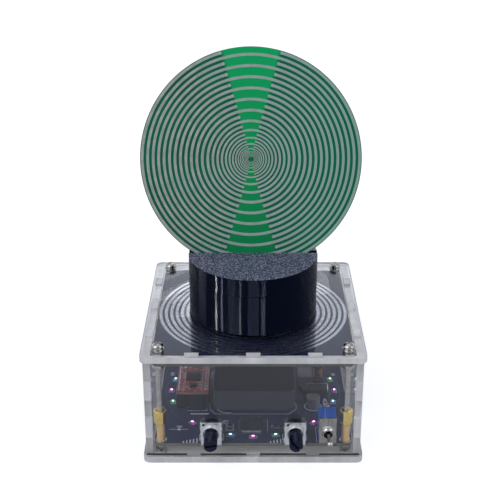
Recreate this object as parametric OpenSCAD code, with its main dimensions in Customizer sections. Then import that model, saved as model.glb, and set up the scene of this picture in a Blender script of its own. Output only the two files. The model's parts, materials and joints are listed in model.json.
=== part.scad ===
// Electromagnetic resonance oscillator: a clear box of tabbed sheet with a coil board under its lid,
// a printed stand on top and a round ring antenna leaning back in the stand's slot.
// Millimetres. X to the right, Y to the back, Z up; the origin is under the middle of the base plate.

/* [Case] */
// Side of the square base and top plates
plate_w = 97.5; // [94:0.5:112]
// Thickness of the clear sheet
sheet_t = 3; // [2:0.1:4]
// Height from the underside of the base to the upper face of the top plate
case_h = 53.5; // [46:0.5:70]
// Corner radius of the plates
plate_r = 3; // [1:0.25:5]
// Distance of the walls from the edges of the plates
wall_inset = 1.3; // [0.8:0.1:2.5]
// Width of a wall tab
tab_w = 5.8; // [4:0.1:8]
// Distance between neighbouring tabs
tab_pitch = 26.5; // [18:0.5:30]
// Tabs on each edge of a wall
tab_count = 3; // [1:2:3]
// Fingers and notches along each upright corner
finger_count = 5; // [3:2:9]
// Clearance round a tab, a finger or a part in its cut-out
joint_gap = 0.1; // [0.05:0.05:0.2]

/* [Boards] */
// Thickness of both circuit boards
board_t = 1.6; // [1:0.2:2]
// Corner radius of both circuit boards
board_r = 3; // [1:0.5:5]
// Clearance between a board and the walls
board_gap = 0.35; // [0.2:0.05:1]
// Height of the spacers under the main board
spacer_h = 3.4; // [2:0.2:8]
// Gap between the top plate and the coil board
coil_drop = 1.7; // [1:0.1:4]

/* [Corner posts] */
// Distance of the screws from the edges of the boards
screw_edge = 2.9; // [2.8:0.1:5]
// Outside diameter of the screw threads
screw_d = 2.5; // [2:0.1:2.8]
// Clearance between a screw and the hole it passes through, all round
screw_gap = 0.15; // [0.1:0.05:0.3]
// Diameter of the pan heads
head_d = 5; // [4.5:0.1:5.6]
// Height of the pan heads
head_h = 1.9; // [1.4:0.1:2.4]
// Radius of the dome of the pan heads
head_dome_r = 3.2; // [2.7:0.1:5]
// Width of the arms of the driver cross
cross_w = 0.7; // [0.4:0.1:1]
// Length of the driver cross from end to end
cross_l = 2.6; // [2:0.1:3]
// Depth of the driver cross
cross_d = 0.9; // [0.4:0.1:1.2]
// Diameter of the sunk heads under the base
base_head_d = 4.7; // [4.2:0.1:5]
// Depth of the sunk heads' faces in the base
base_head_sink = 0.1; // [0.05:0.05:0.4]
// Diameter of the flat washers
washer_d = 5.8; // [5:0.1:6.2]
// Thickness of the flat washers
washer_t = 0.5; // [0.3:0.1:1]
// Diameter of the spring washers
spring_d = 4.6; // [4.2:0.1:5]
// Thickness of the spring washers
spring_t = 0.8; // [0.5:0.1:1.2]
// Width of the cut in a spring washer
spring_split = 0.4; // [0.2:0.1:0.8]
// Width across the flats of the couplers and nuts
hex_af = 5; // [4.4:0.1:5]
// Height of the couplers
coupler_h = 7.2; // [5:0.2:12]
// Outside diameter of the sleeves under the couplers
sleeve_d = 3.6; // [3.4:0.1:5]
// Height of the sleeves
sleeve_h = 8.7; // [6:0.1:14]
// Outside diameter of the board spacers
spacer_d = 5; // [4:0.1:5.6]
// Thickness of the nuts under the coil board
nut_h = 2; // [1.2:0.1:2.4]
// Length of thread inside a coupler, from each end
thread_grip = 3; // [2:0.1:3.5]

/* [Coil] */
// Distance from the edge of the coil board to the middle of its outer turn
coil_edge = 1.1; // [0.9:0.1:4]
// Distance between neighbouring turns
coil_pitch = 2.5; // [2:0.1:3]
// Width of the track
coil_track_w = 1.4; // [0.8:0.1:1.5]
// Turns of the coil
coil_turns = 13; // [6:1:15]
// Angle at the back where one turn steps in to the next
coil_step_angle = 14; // [8:1:24]
// Angle by which a step laps over each of the two turns that it joins
coil_step_lap = 1; // [0.5:0.5:2]
// Width of a step
coil_step_w = 1.2; // [0.6:0.1:1.4]
// Thickness of printed copper on all boards
copper_t = 0.1; // [0.05:0.05:0.2]

/* [Stand] */
// Diameter of the stand
stand_d = 58.8; // [50:0.2:70]
// Height of the stand
stand_h = 27; // [20:0.5:40]
// Angle by which the slot and the disc lean back
slot_lean = 15; // [0:1:25]
// Place of the slot's mouth behind the middle of the stand
slot_y = 0.6; // [-5:0.2:5]
// Clearance between the slot and each face of the disc
slot_gap = 0.3; // [0.2:0.05:0.6]

/* [Ring antenna] */
// Diameter of the disc
disc_d = 100; // [80:1:110]
// Thickness of the disc
disc_t = 1.6; // [1:0.2:2.4]
// Depth to which the disc sits in the slot
disc_sunk = 7.5; // [5:0.5:12]
// Sideways place of the disc in the slot
disc_x = -1; // [-2:0.5:2]
// Distance from the edge of the disc to the middle of the outer ring
ring_edge = 1; // [0.9:0.1:3]
// Distance between neighbouring rings in the outer part
ring_pitch = 2.46; // [2:0.02:3]
// Rings with the full distance between them
even_rings = 13; // [8:1:13]
// How much closer each later ring is than the one before
ring_shrink = 0.165; // [0.1:0.005:0.2]
// Least distance between neighbouring rings
ring_pitch_min = 0.62; // [0.5:0.02:1]
// Least radius of a ring
ring_inner_r = 1.4; // [1.2:0.1:20]
// Width of a ring as a share of its pitch
ring_share = 0.5; // [0.4:0.02:0.65]
// Half the angle of the opening in each ring
ring_opening = 16.3; // [8:0.1:24]
// Diameter of a ring's round end as a share of the ring's width
ring_end_share = 1.25; // [1:0.05:1.4]

/* [Controls] */
// Distance of each rotary control from the middle
pot_x = 18.65; // [16:0.05:22]
// Height of the control shafts above the main board
pot_z = 5.8; // [5:0.1:7]
// Width of a control
pot_w = 9.3; // [8:0.1:10]
// Height of a control's face plate above the shaft
pot_plate_up = 5; // [4:0.1:6]
// Height of a control's face plate below the shaft
pot_plate_down = 6.7; // [5.9:0.1:7.2]
// Depth of a control's body
pot_body_d = 5.6; // [4.5:0.1:8]
// Thickness of the face plates
face_t = 0.8; // [0.5:0.1:1.2]
// Diameter of the control shafts in front of the case
shaft_d = 6; // [5:0.1:6.4]
// Diameter of the control shafts inside the case
journal_d = 5; // [4:0.1:5.6]
// Length of a shaft in front of the case
shaft_out = 9; // [6:0.5:16]
// Gap between the case and the thick end of a shaft
shaft_gap = 0.3; // [0.2:0.1:1]
// Length of a shaft inside its control's body
shaft_in = 4; // [2:0.1:4.4]
// Running clearance round a shaft in its bearing
run_gap = 0.05; // [0.02:0.01:0.1]
// Clearance round a shaft or a bushing in the front wall
wall_hole_gap = 0.5; // [0.3:0.1:1]
// Width of the split in a shaft's end
split_w = 1; // [0.6:0.1:1.4]
// Depth of the split in a shaft's end
split_l = 6; // [3:0.5:6]
// Angle of the split in the frequency shaft, from level, rising to the right
frequency_split = 10; // [-90:5:90]
// Angle of the split in the amplitude shaft, from level, rising to the right
amplitude_split = -45; // [-90:5:90]

/* [Switch] */
// Distance of the switch from the corner post beside it
switch_post_gap = 8.2; // [7:0.1:10]
// Width of the switch
switch_w = 7.6; // [6:0.1:8]
// Height of the switch
switch_h = 13.1; // [11:0.1:15]
// Depth of the switch's body
switch_body_d = 9; // [7:0.2:12]
// Outside diameter of the bushing
bushing_d = 5; // [4.6:0.1:6]
// Wall of the bushing
bushing_wall = 0.5; // [0.4:0.05:0.7]
// Length of the bushing in front of the case
bushing_out = 1.2; // [0.6:0.1:4]
// Distance of the lever's pivot in front of the face plate
pivot_out = 1.9; // [1.8:0.1:2.4]
// Clearance between the lever's ball and the bushing
ball_gap = 0.25; // [0.15:0.05:0.3]
// Diameter of the lever
lever_d = 1.9; // [1.5:0.1:2]
// Diameter of the lever's round tip
lever_tip_d = 2.7; // [2.2:0.1:3.2]
// Length of the lever from its pivot to the middle of its tip
lever_l = 12.9; // [9:0.1:18]
// Angle of the lever above the level
lever_angle = 10; // [6:1:12]

// Width, length and thickness of a switch terminal
terminal_size = [1.4, 4.5, 0.7];
// Distance between the switch's terminals
terminal_pitch = 4.7; // [3:0.1:5]

/* [Board parts] */
// Distance of the lamp ring from the edges of the board
led_edge = 4.8; // [4:0.1:7]
// Angle between a pink lamp and the two beside it
led_spread = 15; // [8:1:20]
// Length, width and height of a lamp
led_size = [2, 1.25, 0.8];
// Distance of the potted power module from the left edge of the board
power_left = 25.5; // [22:0.1:30]
// Distance of the power module from the right edge of the board
power_right = 24.3; // [22:0.1:30]
// Distance of the power module from the front and the rear edge of the board
power_ends = 27.1; // [24:0.1:32]
// Height of the power module
power_h = 10; // [6:0.5:14]
// Radius of the power module's upright edges
power_edge_r = 4; // [0.5:0.5:6]
// Width, length and thickness of the plug-in module's board
module_size = [15, 28, 1];
// Width, length and height of the plug-in module's chip
module_chip_size = [7, 7, 1];
// Place of the plug-in module from front to back
module_y = -3; // [-8:0.5:4]
// Height of the plug-in module's sockets
socket_h = 8.4; // [5:0.1:11]
// Width of the plug-in module's sockets
socket_w = 2.5; // [2:0.1:3]
// Pins in each row of the plug-in module
pin_count = 10; // [4:1:10]
// Distance between pins
pin_pitch = 2.54; // [2:0.01:2.54]
// Diameter of a pin where it stands out of the plug-in module
pin_d = 1.2; // [0.6:0.1:1.6]
// Height of a pin above the plug-in module
pin_h = 0.8; // [0.4:0.1:2]
// Diameter of the standing capacitor
cap_d = 6.3; // [4:0.1:8]
// Height of the standing capacitor
cap_h = 5.6; // [4:0.1:10]
// Diameter of the lying capacitor
lying_d = 5; // [4:0.1:6.3]
// Length of the lying capacitor
lying_l = 11; // [7:0.5:11]
// Width, length and height of the relay
relay_size = [7.2, 9.4, 5.5];
// Diameter of the choke's flanges
choke_d = 5; // [5:0.1:7]
// Thickness of the choke's flanges
choke_flange_t = 1.2; // [0.8:0.1:1.5]
// Diameter of the choke's middle
choke_core_d = 2.8; // [2:0.1:2.8]
// Diameter of the choke's wire
wire_d = 0.7; // [0.5:0.05:0.8]
// Distance between the choke's turns
wire_pitch = 1.2; // [1.1:0.05:1.4]
// Turns of the choke
wire_turns = 4.5; // [2:0.5:4.5]
// Width, length and height of the driver chip
chip_size = [10, 10, 1.4];
// Leads on each side of the driver chip
lead_count = 11; // [6:1:11]
// Distance between leads
lead_pitch = 0.8; // [0.65:0.01:0.85]
// Length of a lead beside the chip
lead_l = 1; // [0.6:0.1:1.6]
// Width of a lead
lead_w = 0.36; // [0.2:0.02:0.44]
// Thickness of a lead
lead_t = 0.4; // [0.2:0.05:0.6]
// Length, width and height of a small resistor or capacitor
chip_part_size = [2, 1.25, 0.6];

/* [Power inlet] */
// Distance of the inlet from the middle
jack_x = 20; // [16:0.5:24]
// Width, depth and height of the inlet
jack_size = [9, 14, 11];
// Diameter of the inlet's socket
jack_bore = 6.4; // [5.5:0.1:7]
// Depth of the inlet's socket
jack_bore_l = 9.5; // [7:0.5:11]
// Diameter of the inlet's pin
jack_pin_d = 2.1; // [1.5:0.1:2.5]
// Distance of the inlet's pin behind its mouth
jack_pin_set = 1; // [0.5:0.1:3]
// Diameter of the leads up to the coil board
coil_lead_d = 1.3; // [0.8:0.1:2]
// Distance of each lead from the middle
coil_lead_x = 5; // [3:0.5:7]
// Distance of the leads from the rear edges of the boards
coil_lead_edge = 7.1; // [3:0.1:12]

/* [Hidden] */
$fn = 64;

// Rings of points along one turn of the choke's wire, and sides of the wire
wire_rings = 24;
wire_sides = 6;

// How far a cutting shape runs past the face it cuts
past = 1;
wall_h = case_h - 2 * sheet_t;
wall_out = plate_w / 2 - wall_inset;
wall_in = wall_out - sheet_t;
finger_h = wall_h / finger_count;
board_w = 2 * (wall_in - board_gap);
board_top = sheet_t + spacer_h + board_t;
coil_board_top = case_h - sheet_t - coil_drop;
screw_pitch = board_w - 2 * screw_edge;
hole_d = screw_d + 2 * screw_gap;
sleeve_top = board_top + sleeve_h;
coupler_top = sleeve_top + coupler_h;
base_head_h = (base_head_d - screw_d) / 2;
face_front = -(wall_in - joint_gap / 2);
pot_axis_z = board_top + pot_z;
shaft_tip_y = -(wall_out + shaft_out);
switch_x = screw_pitch / 2 - switch_post_gap;
switch_axis_z = board_top + switch_h / 2;
pivot_y = face_front - pivot_out;
bushing_bore = bushing_d - 2 * bushing_wall;
lever_ball_d = bushing_bore - 2 * ball_gap;
stand_top = case_h + stand_h;
disc_rise = disc_d / 2 - disc_sunk;
slot_w = disc_t + 2 * copper_t + 2 * slot_gap;
jaw_h = disc_sunk * cos(slot_lean) + (disc_t + copper_t) * sin(slot_lean) + slot_gap;
led_ring_r = board_w / 2 - led_edge;
module_bottom = board_top + socket_h;
module_top = module_bottom + module_size[2];
jack_back = wall_out;

// Sides of the power module, and middles of the strips of board between it and the lamp ring
power_x0 = power_left - board_w / 2;
power_x1 = board_w / 2 - power_right;
power_y1 = board_w / 2 - power_ends;
lamp_inner = led_ring_r - led_size[1] / 2;
left_mid = (power_x0 - lamp_inner) / 2;
right_mid = (power_x1 + lamp_inner) / 2;
rear_mid = (power_y1 + lamp_inner) / 2;
front_mid = -rear_mid;
module_at = [left_mid + 0.4, module_y];
cap_at = [right_mid - 1, -13.9];
lying_at = [right_mid + 1.2, -2.1];
relay_at = [right_mid - 3.9, 8.3];
choke_at = [right_mid + 2.5, 10];
chip_at = [-0.65, front_mid - 2.2];
// Places of the small chip parts, from the middle of the strip in front of the module or behind it
front_resistors = [[10.2, -3.2], [12.8, -3.2], [-10.6, -2.2], [-10.6, -5.2]];
rear_resistors = [[-16, -2], [-12.5, -2], [12.5, -2], [16, -2], [-3, 2], [3, 2]];
front_ceramics = [[-13.2, 0.2]];
rear_ceramics = [[-8, -4], [8, -4], [0, -4], [-20, -4], [20, -4]];

clear_sheet = [0.85, 0.87, 0.9, 0.35];
navy_board = [0.1, 0.11, 0.2];
tinned = [0.72, 0.73, 0.78];
steel = [0.75, 0.74, 0.7];
brass = [0.8, 0.62, 0.25];
black_plastic = [0.06, 0.06, 0.07];
dark_print = [0.08, 0.08, 0.14];
disc_green = [0.05, 0.5, 0.28];

// Distance from ring number i to the one outside it, counted from the outside; they close up inwards
function ring_step(i) = i < even_rings
    ? ring_pitch
    : max(ring_pitch_min, ring_pitch - ring_shrink * (i - even_rings + 1));
// Radii of the rings from number i, at radius r, as far in as they go
function radii_from(i, r) = r < ring_inner_r
    ? []
    : concat([r], radii_from(i + 1, r - ring_step(i + 1)));
ring_radii = radii_from(0, disc_d / 2 - ring_edge);

// Point on the choke's helix after a number of turns
choke_h = 2 * choke_flange_t + wire_turns * wire_pitch + wire_d + 2 * joint_gap;
choke_wire_r = choke_core_d / 2 + wire_d / 2 + joint_gap;
choke_wire_z = board_top + choke_flange_t + wire_d / 2 + joint_gap;
function helix_point(turn) = [
    choke_at[0] + choke_wire_r * cos(360 * turn),
    choke_at[1] + choke_wire_r * sin(360 * turn),
    choke_wire_z + wire_pitch * turn];

// Least clear distance between stretches of the wire that lie half a turn or more apart
wire_last = ceil(wire_turns * wire_rings);
wire_gap = min([for (i = [0 : wire_last], j = [i + wire_rings / 2 : wire_last])
    norm(helix_point(i / wire_rings) - helix_point(j / wire_rings))]) - wire_d;
echo("least gap between the choke's turns", wire_gap);

module rounded_square(w, r) {
    square([w - 2 * r, w], center = true);
    square([w, w - 2 * r], center = true);
    for (x = [-1, 1], y = [-1, 1])
        translate([x * (w / 2 - r), y * (w / 2 - r)])
            circle(r);
}

module rounded_plate(w, t, r) {
    linear_extrude(t)
        rounded_square(w, r);
}

module at_corners() {
    for (x = [-1, 1], y = [-1, 1])
        translate([x * screw_pitch / 2, y * screw_pitch / 2, 0])
            children();
}

module tube(d, bore, h) {
    difference() {
        cylinder(d = d, h = h);
        translate([0, 0, -past])
            cylinder(d = bore, h = h + 2 * past);
    }
}

// Box standing on the main board, given by the middle of its foot
module on_board(at, size) {
    translate([at[0] - size[0] / 2, at[1] - size[1] / 2, board_top])
        cube(size);
}

// One tab, or with a clearance the slot that takes it, for each tab of a wall of the front's kind
module tabs(z, h, gap) {
    for (i = [0 : tab_count - 1])
        translate([(i - (tab_count - 1) / 2) * tab_pitch - tab_w / 2 - gap, -wall_out - gap, z])
            cube([tab_w + 2 * gap, sheet_t + 2 * gap, h]);
}

module tab_slots(z) {
    for (a = [0 : 90 : 270])
        rotate([0, 0, a])
            tabs(z - past, sheet_t + 2 * past, joint_gap);
}

// Front or rear wall, drawn at the front: full width, with notches for the side walls
module broad_wall() {
    difference() {
        union() {
            translate([-wall_out, -wall_out, sheet_t])
                cube([2 * wall_out, sheet_t, wall_h]);
            tabs(0, case_h, 0);
        }
        for (side = [-1, 1], i = [1 : 2 : finger_count - 2])
            translate([side * (wall_in + sheet_t / 2 + past / 2) - (sheet_t + past) / 2 - joint_gap,
                -wall_out - past, sheet_t + i * finger_h - joint_gap])
                cube([sheet_t + past + 2 * joint_gap, sheet_t + 2 * past, finger_h + 2 * joint_gap]);
    }
}

// Left or right wall, drawn at the front: between the broad walls, with fingers through them
module side_wall() {
    translate([-wall_in + joint_gap, -wall_out, sheet_t])
        cube([2 * (wall_in - joint_gap), sheet_t, wall_h]);
    for (side = [-1, 1], i = [1 : 2 : finger_count - 2])
        translate([side * wall_out / 2 - wall_out / 2, -wall_out, sheet_t + i * finger_h])
            cube([wall_out, sheet_t, finger_h]);
    tabs(0, case_h, 0);
}

module base_plate() {
    color(clear_sheet)
        difference() {
            rounded_plate(plate_w, sheet_t, plate_r);
            tab_slots(0);
            at_corners() {
                translate([0, 0, -past])
                    cylinder(d = hole_d, h = sheet_t + 2 * past);
                countersink(joint_gap / 2);
            }
        }
}

// Sunk cone of a base screw's head with a clearance, open to below
module countersink(gap) {
    translate([0, 0, -past])
        cylinder(d = base_head_d + 2 * gap, h = base_head_sink + past);
    translate([0, 0, base_head_sink])
        cylinder(d1 = base_head_d + 2 * gap, d2 = screw_d + 2 * gap, h = base_head_h);
}

module top_plate() {
    color(clear_sheet)
        difference() {
            translate([0, 0, case_h - sheet_t])
                rounded_plate(plate_w, sheet_t, plate_r);
            tab_slots(case_h - sheet_t);
            at_corners()
                translate([0, 0, case_h - sheet_t - past])
                    cylinder(d = hole_d, h = sheet_t + 2 * past);
        }
}

module front_wall() {
    color(clear_sheet)
        difference() {
            broad_wall();
            for (side = [-1, 1])
                translate([side * pot_x, 0, pot_axis_z])
                    rotate([90, 0, 0])
                        cylinder(d = shaft_d + 2 * wall_hole_gap, h = plate_w);
            translate([switch_x, 0, switch_axis_z])
                rotate([90, 0, 0])
                    cylinder(d = bushing_d + 2 * joint_gap, h = plate_w);
        }
}

module rear_wall() {
    color(clear_sheet)
        difference() {
            rotate([0, 0, 180])
                broad_wall();
            translate([jack_x - jack_size[0] / 2 - joint_gap, wall_in - past, board_top - joint_gap])
                cube([jack_size[0] + 2 * joint_gap, sheet_t + 2 * past, jack_size[2] + 2 * joint_gap]);
        }
}

module left_wall() {
    color(clear_sheet)
        rotate([0, 0, -90])
            side_wall();
}

module right_wall() {
    color(clear_sheet)
        rotate([0, 0, 90])
            side_wall();
}

module main_board() {
    notch_w = pot_w + 2 * joint_gap;
    color(navy_board)
        difference() {
            translate([0, 0, board_top - board_t])
                rounded_plate(board_w, board_t, board_r);
            at_corners()
                translate([0, 0, board_top - board_t - past])
                    cylinder(d = hole_d, h = board_t + 2 * past);
            for (side = [-1, 1])
                translate([side * pot_x - notch_w / 2, face_front - past, board_top - board_t - past])
                    cube([notch_w, face_t + joint_gap + past, board_t + 2 * past]);
        }
}

module coil_board() {
    color(navy_board)
        difference() {
            translate([0, 0, coil_board_top - board_t])
                rounded_plate(board_w, board_t, board_r);
            at_corners()
                translate([0, 0, coil_board_top - board_t - past])
                    cylinder(d = hole_d, h = board_t + 2 * past);
        }
}

// One unbroken track: an arc for each turn, stepping in to the next turn at the back
module coil_track() {
    outer_r = board_w / 2 - coil_edge;
    half = coil_step_angle / 2;
    color(tinned)
        translate([0, 0, coil_board_top]) {
            for (i = [0 : coil_turns - 1])
                rotate([0, 0, 90 + half])
                    flat_arc(outer_r - i * coil_pitch, coil_track_w, 360 - coil_step_angle);
            for (i = [0 : coil_turns - 2])
                flat_step(outer_r - i * coil_pitch, 90 - half - coil_step_lap,
                    outer_r - (i + 1) * coil_pitch, 90 + half + coil_step_lap);
        }
}

// Copper arc of a given middle radius and width, from the X axis through an angle
module flat_arc(r, w, sweep) {
    rotate_extrude(angle = sweep)
        translate([r - w / 2, 0])
            square([w, copper_t]);
}

// Straight piece of track from a radius and angle to the next, its ends lying in the turns that it joins
module flat_step(r0, a0, r1, a1) {
    half = coil_step_w / 2;
    linear_extrude(copper_t)
        polygon([
            (r0 - half) * [cos(a0), sin(a0)], (r0 + half) * [cos(a0), sin(a0)],
            (r1 + half) * [cos(a1), sin(a1)], (r1 - half) * [cos(a1), sin(a1)]]);
}

module base_screws() {
    color(brass)
        at_corners() {
            translate([0, 0, base_head_sink]) {
                cylinder(d1 = base_head_d, d2 = screw_d, h = base_head_h);
                cylinder(d = screw_d, h = sleeve_top + thread_grip - base_head_sink);
            }
        }
}

module board_spacers() {
    color(steel)
        at_corners()
            translate([0, 0, sheet_t])
                tube(spacer_d, hole_d, spacer_h);
}

module post_sleeves() {
    color(brass)
        at_corners()
            translate([0, 0, board_top])
                tube(sleeve_d, hole_d, sleeve_h);
}

// Hexagonal prism with a round bore, given by its width across the flats
module hex_sleeve(h) {
    difference() {
        cylinder(d = hex_af / cos(30), h = h, $fn = 6);
        translate([0, 0, -past])
            cylinder(d = screw_d + screw_gap, h = h + 2 * past);
    }
}

module hex_couplers() {
    color(brass)
        at_corners()
            translate([0, 0, sleeve_top])
                hex_sleeve(coupler_h);
}

// Pan head with a crossed driver recess, its underside at the origin
module pan_head() {
    difference() {
        intersection() {
            cylinder(d = head_d, h = head_h);
            translate([0, 0, head_h - head_dome_r])
                sphere(head_dome_r);
        }
        for (a = [0, 90])
            rotate([0, 0, a])
                translate([-cross_l / 2, -cross_w / 2, head_h - cross_d])
                    cube([cross_l, cross_w, cross_d + past]);
    }
}

module top_screws() {
    head_z = case_h + washer_t + spring_t;
    shank_end = coupler_top - thread_grip;
    shank_lap = (head_h - cross_d) / 2;
    color(steel)
        at_corners() {
            translate([0, 0, head_z])
                pan_head();
            translate([0, 0, shank_end])
                cylinder(d = screw_d, h = head_z - shank_end + shank_lap);
        }
}

module spring_washers() {
    color(steel)
        at_corners()
            translate([0, 0, case_h + washer_t])
                difference() {
                    tube(spring_d, hole_d, spring_t);
                    rotate([0, 0, 30])
                        translate([0, -spring_split / 2, -past])
                            cube([spring_d, spring_split, spring_t + 2 * past]);
                }
}

module flat_washers() {
    color(steel)
        at_corners()
            translate([0, 0, case_h])
                tube(washer_d, hole_d, washer_t);
}

module coil_spacers() {
    color(steel)
        at_corners()
            translate([0, 0, coil_board_top])
                tube(spacer_d, hole_d, coil_drop);
}

module coil_nuts() {
    color(steel)
        at_corners()
            translate([0, 0, coil_board_top - board_t - nut_h])
                hex_sleeve(nut_h);
}

// Places flat shapes on the disc: the flat X and Y run along its face, the flat Z out of its front
module on_disc() {
    translate([disc_x, slot_y, stand_top])
        rotate([90 - slot_lean, 0, 0])
            translate([0, disc_rise, 0])
                children();
}

module stand_drum() {
    color(dark_print)
        translate([0, 0, case_h])
            cylinder(d = stand_d, h = stand_h - jaw_h, $fn = 128);
}

// The two halves of the stand's top, on either side of the slot that runs right across
module stand_jaws() {
    color(dark_print)
        difference() {
            translate([0, 0, stand_top - jaw_h])
                cylinder(d = stand_d, h = jaw_h, $fn = 128);
            translate([0, slot_y, stand_top])
                rotate([90 - slot_lean, 0, 0])
                    translate([-stand_d, -stand_h, -disc_t - copper_t - slot_gap])
                        cube([2 * stand_d, 2 * stand_h, slot_w]);
        }
}

module antenna_disc() {
    color(disc_green)
        on_disc()
            translate([0, 0, -disc_t])
                cylinder(d = disc_d, h = disc_t, $fn = 180);
}

// Open ring of copper with round ends; even numbers open at the top and odd ones at the bottom
module open_ring(i) {
    r = ring_radii[i];
    w = ring_share * ring_step(i);
    turn = i % 2 == 0 ? 90 : 270;
    rotate([0, 0, turn + ring_opening])
        flat_arc(r, w, 360 - 2 * ring_opening);
    for (side = [-1, 1])
        rotate([0, 0, turn + side * ring_opening])
            translate([r, 0, 0])
                cylinder(d = ring_end_share * w, h = copper_t, $fn = 24);
}

module rings() {
    for (i = [0 : len(ring_radii) - 1])
        open_ring(i);
}

module front_rings() {
    color(tinned)
        on_disc()
            rings();
}

module rear_rings() {
    color(tinned)
        on_disc()
            translate([0, 0, -disc_t - copper_t])
                rings();
}

module pot_plate(x) {
    color(steel)
        difference() {
            translate([x - pot_w / 2, face_front, pot_axis_z - pot_plate_down])
                cube([pot_w, face_t, pot_plate_up + pot_plate_down]);
            along_y(x, face_front + face_t + past, pot_axis_z)
                cylinder(d = journal_d + 2 * run_gap, h = face_t + 2 * past);
        }
}

// Places shapes drawn along Z so that they run to the front from a point
module along_y(x, y, z) {
    translate([x, y, z])
        rotate([90, 0, 0])
            children();
}

module pot_body(x) {
    body_y = face_front + face_t;
    color(black_plastic)
        difference() {
            translate([x - pot_w / 2, body_y, board_top])
                cube([pot_w, pot_body_d, pot_z + pot_plate_up - joint_gap]);
            along_y(x, body_y + shaft_in + joint_gap, pot_axis_z)
                cylinder(d = journal_d + 2 * run_gap, h = shaft_in + joint_gap + past);
        }
}

module pot_shaft(x, split_angle) {
    inner_y = face_front + face_t + shaft_in;
    step_y = -(wall_out + shaft_gap);
    color(black_plastic)
        difference() {
            union() {
                along_y(x, inner_y, pot_axis_z)
                    cylinder(d = journal_d, h = inner_y - shaft_tip_y);
                along_y(x, step_y, pot_axis_z)
                    cylinder(d = shaft_d, h = step_y - shaft_tip_y);
            }
            translate([x, shaft_tip_y - past, pot_axis_z])
                rotate([0, -split_angle, 0])
                    translate([-shaft_d, 0, -split_w / 2])
                        cube([2 * shaft_d, split_l + past, split_w]);
        }
}

module frequency_pot_body() {
    pot_body(-pot_x);
}

module frequency_pot_plate() {
    pot_plate(-pot_x);
}

module frequency_shaft() {
    pot_shaft(-pot_x, frequency_split);
}

module amplitude_pot_body() {
    pot_body(pot_x);
}

module amplitude_pot_plate() {
    pot_plate(pot_x);
}

module amplitude_shaft() {
    pot_shaft(pot_x, amplitude_split);
}

module switch_body() {
    color([0.05, 0.2, 0.6])
        translate([switch_x - switch_w / 2, face_front + face_t, board_top])
            cube([switch_w, switch_body_d, switch_h - joint_gap]);
}

module switch_plate() {
    color(steel)
        translate([switch_x - switch_w / 2, face_front, board_top])
            cube([switch_w, face_t, switch_h]);
}

module switch_bushing() {
    color(steel)
        along_y(switch_x, face_front, switch_axis_z)
            tube(bushing_d, bushing_bore, face_front + wall_out + bushing_out);
}

module switch_lever() {
    color(steel)
        translate([switch_x, pivot_y, switch_axis_z])
            rotate([90 - lever_angle, 0, 0]) {
                sphere(d = lever_ball_d, $fn = 48);
                cylinder(d = lever_d, h = lever_l);
                translate([0, 0, lever_l])
                    sphere(d = lever_tip_d, $fn = 48);
            }
}

module switch_terminals() {
    color(steel)
        for (i = [-1, 0, 1])
            translate([switch_x - terminal_size[0] / 2, face_front + face_t + switch_body_d,
                switch_axis_z + i * terminal_pitch - terminal_size[2] / 2])
                cube(terminal_size);
}

module module_board() {
    color([0.55, 0.06, 0.08])
        translate([module_at[0] - module_size[0] / 2, module_at[1] - module_size[1] / 2, module_bottom])
            cube(module_size);
}

module module_chip() {
    color(black_plastic)
        translate([module_at[0], module_at[1], module_top])
            translate([-module_chip_size[0] / 2, -module_chip_size[1] / 2, 0])
                cube(module_chip_size);
}

// Middle of each of the two rows of pins under the plug-in module
module at_pin_rows() {
    for (side = [-1, 1])
        translate([module_at[0] + side * (module_size[0] - socket_w) / 2, module_at[1], 0])
            children();
}

module module_sockets() {
    length = pin_count * pin_pitch;
    color(black_plastic)
        at_pin_rows()
            translate([-socket_w / 2, -length / 2, board_top])
                cube([socket_w, length, socket_h]);
}

module module_pins() {
    color(tinned)
        at_pin_rows()
            for (i = [0 : pin_count - 1])
                translate([0, (i - (pin_count - 1) / 2) * pin_pitch, module_top])
                    cylinder(d = pin_d, h = pin_h, $fn = 24);
}

module power_module() {
    color([0.18, 0.18, 0.21])
        translate([0, 0, board_top])
            linear_extrude(power_h)
                offset(r = power_edge_r, $fn = 48)
                    translate([power_x0 + power_edge_r, power_edge_r - power_y1])
                        square([power_x1 - power_x0, 2 * power_y1] - 2 * power_edge_r * [1, 1]);
}

module capacitors() {
    color([0.13, 0.13, 0.17])
        {
            translate([cap_at[0], cap_at[1], board_top])
                cylinder(d = cap_d, h = cap_h);
            translate([lying_at[0] - lying_l / 2, lying_at[1], board_top + joint_gap + lying_d / 2])
                rotate([0, 90, 0])
                    cylinder(d = lying_d, h = lying_l);
        }
}

module relay() {
    color([0.3, 0.3, 0.36])
        on_board(relay_at, relay_size);
}

module choke_core() {
    color([0.2, 0.2, 0.2])
        translate([choke_at[0], choke_at[1], board_top]) {
            cylinder(d = choke_d, h = choke_flange_t);
            cylinder(d = choke_core_d, h = choke_h);
            translate([0, 0, choke_h - choke_flange_t])
                cylinder(d = choke_d, h = choke_flange_t);
        }
}

// One tube swept along the helix, its sides facing out from the choke's axis
module choke_winding() {
    sides = wire_sides;
    last = wire_last;
    points = [for (i = [0 : last], k = [0 : sides - 1])
        let (turn = i / wire_rings, centre = helix_point(turn), a = 360 * k / sides)
        centre + wire_d / 2 * [cos(a) * cos(360 * turn), cos(a) * sin(360 * turn), sin(a)]];
    skin = [for (i = [0 : last - 1], k = [0 : sides - 1], half = [0, 1])
        let (a = i * sides + k, b = i * sides + (k + 1) % sides)
        half == 0 ? [a, a + sides, b] : [b, a + sides, b + sides]];
    caps = concat(
        [for (k = [1 : sides - 2]) [0, k, k + 1]],
        [for (k = [1 : sides - 2]) [last * sides, last * sides + k + 1, last * sides + k]]);
    color([0.72, 0.36, 0.2])
        polyhedron(points, concat(skin, caps));
}

module driver_chip() {
    color(black_plastic)
        on_board(chip_at, chip_size);
}

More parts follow.
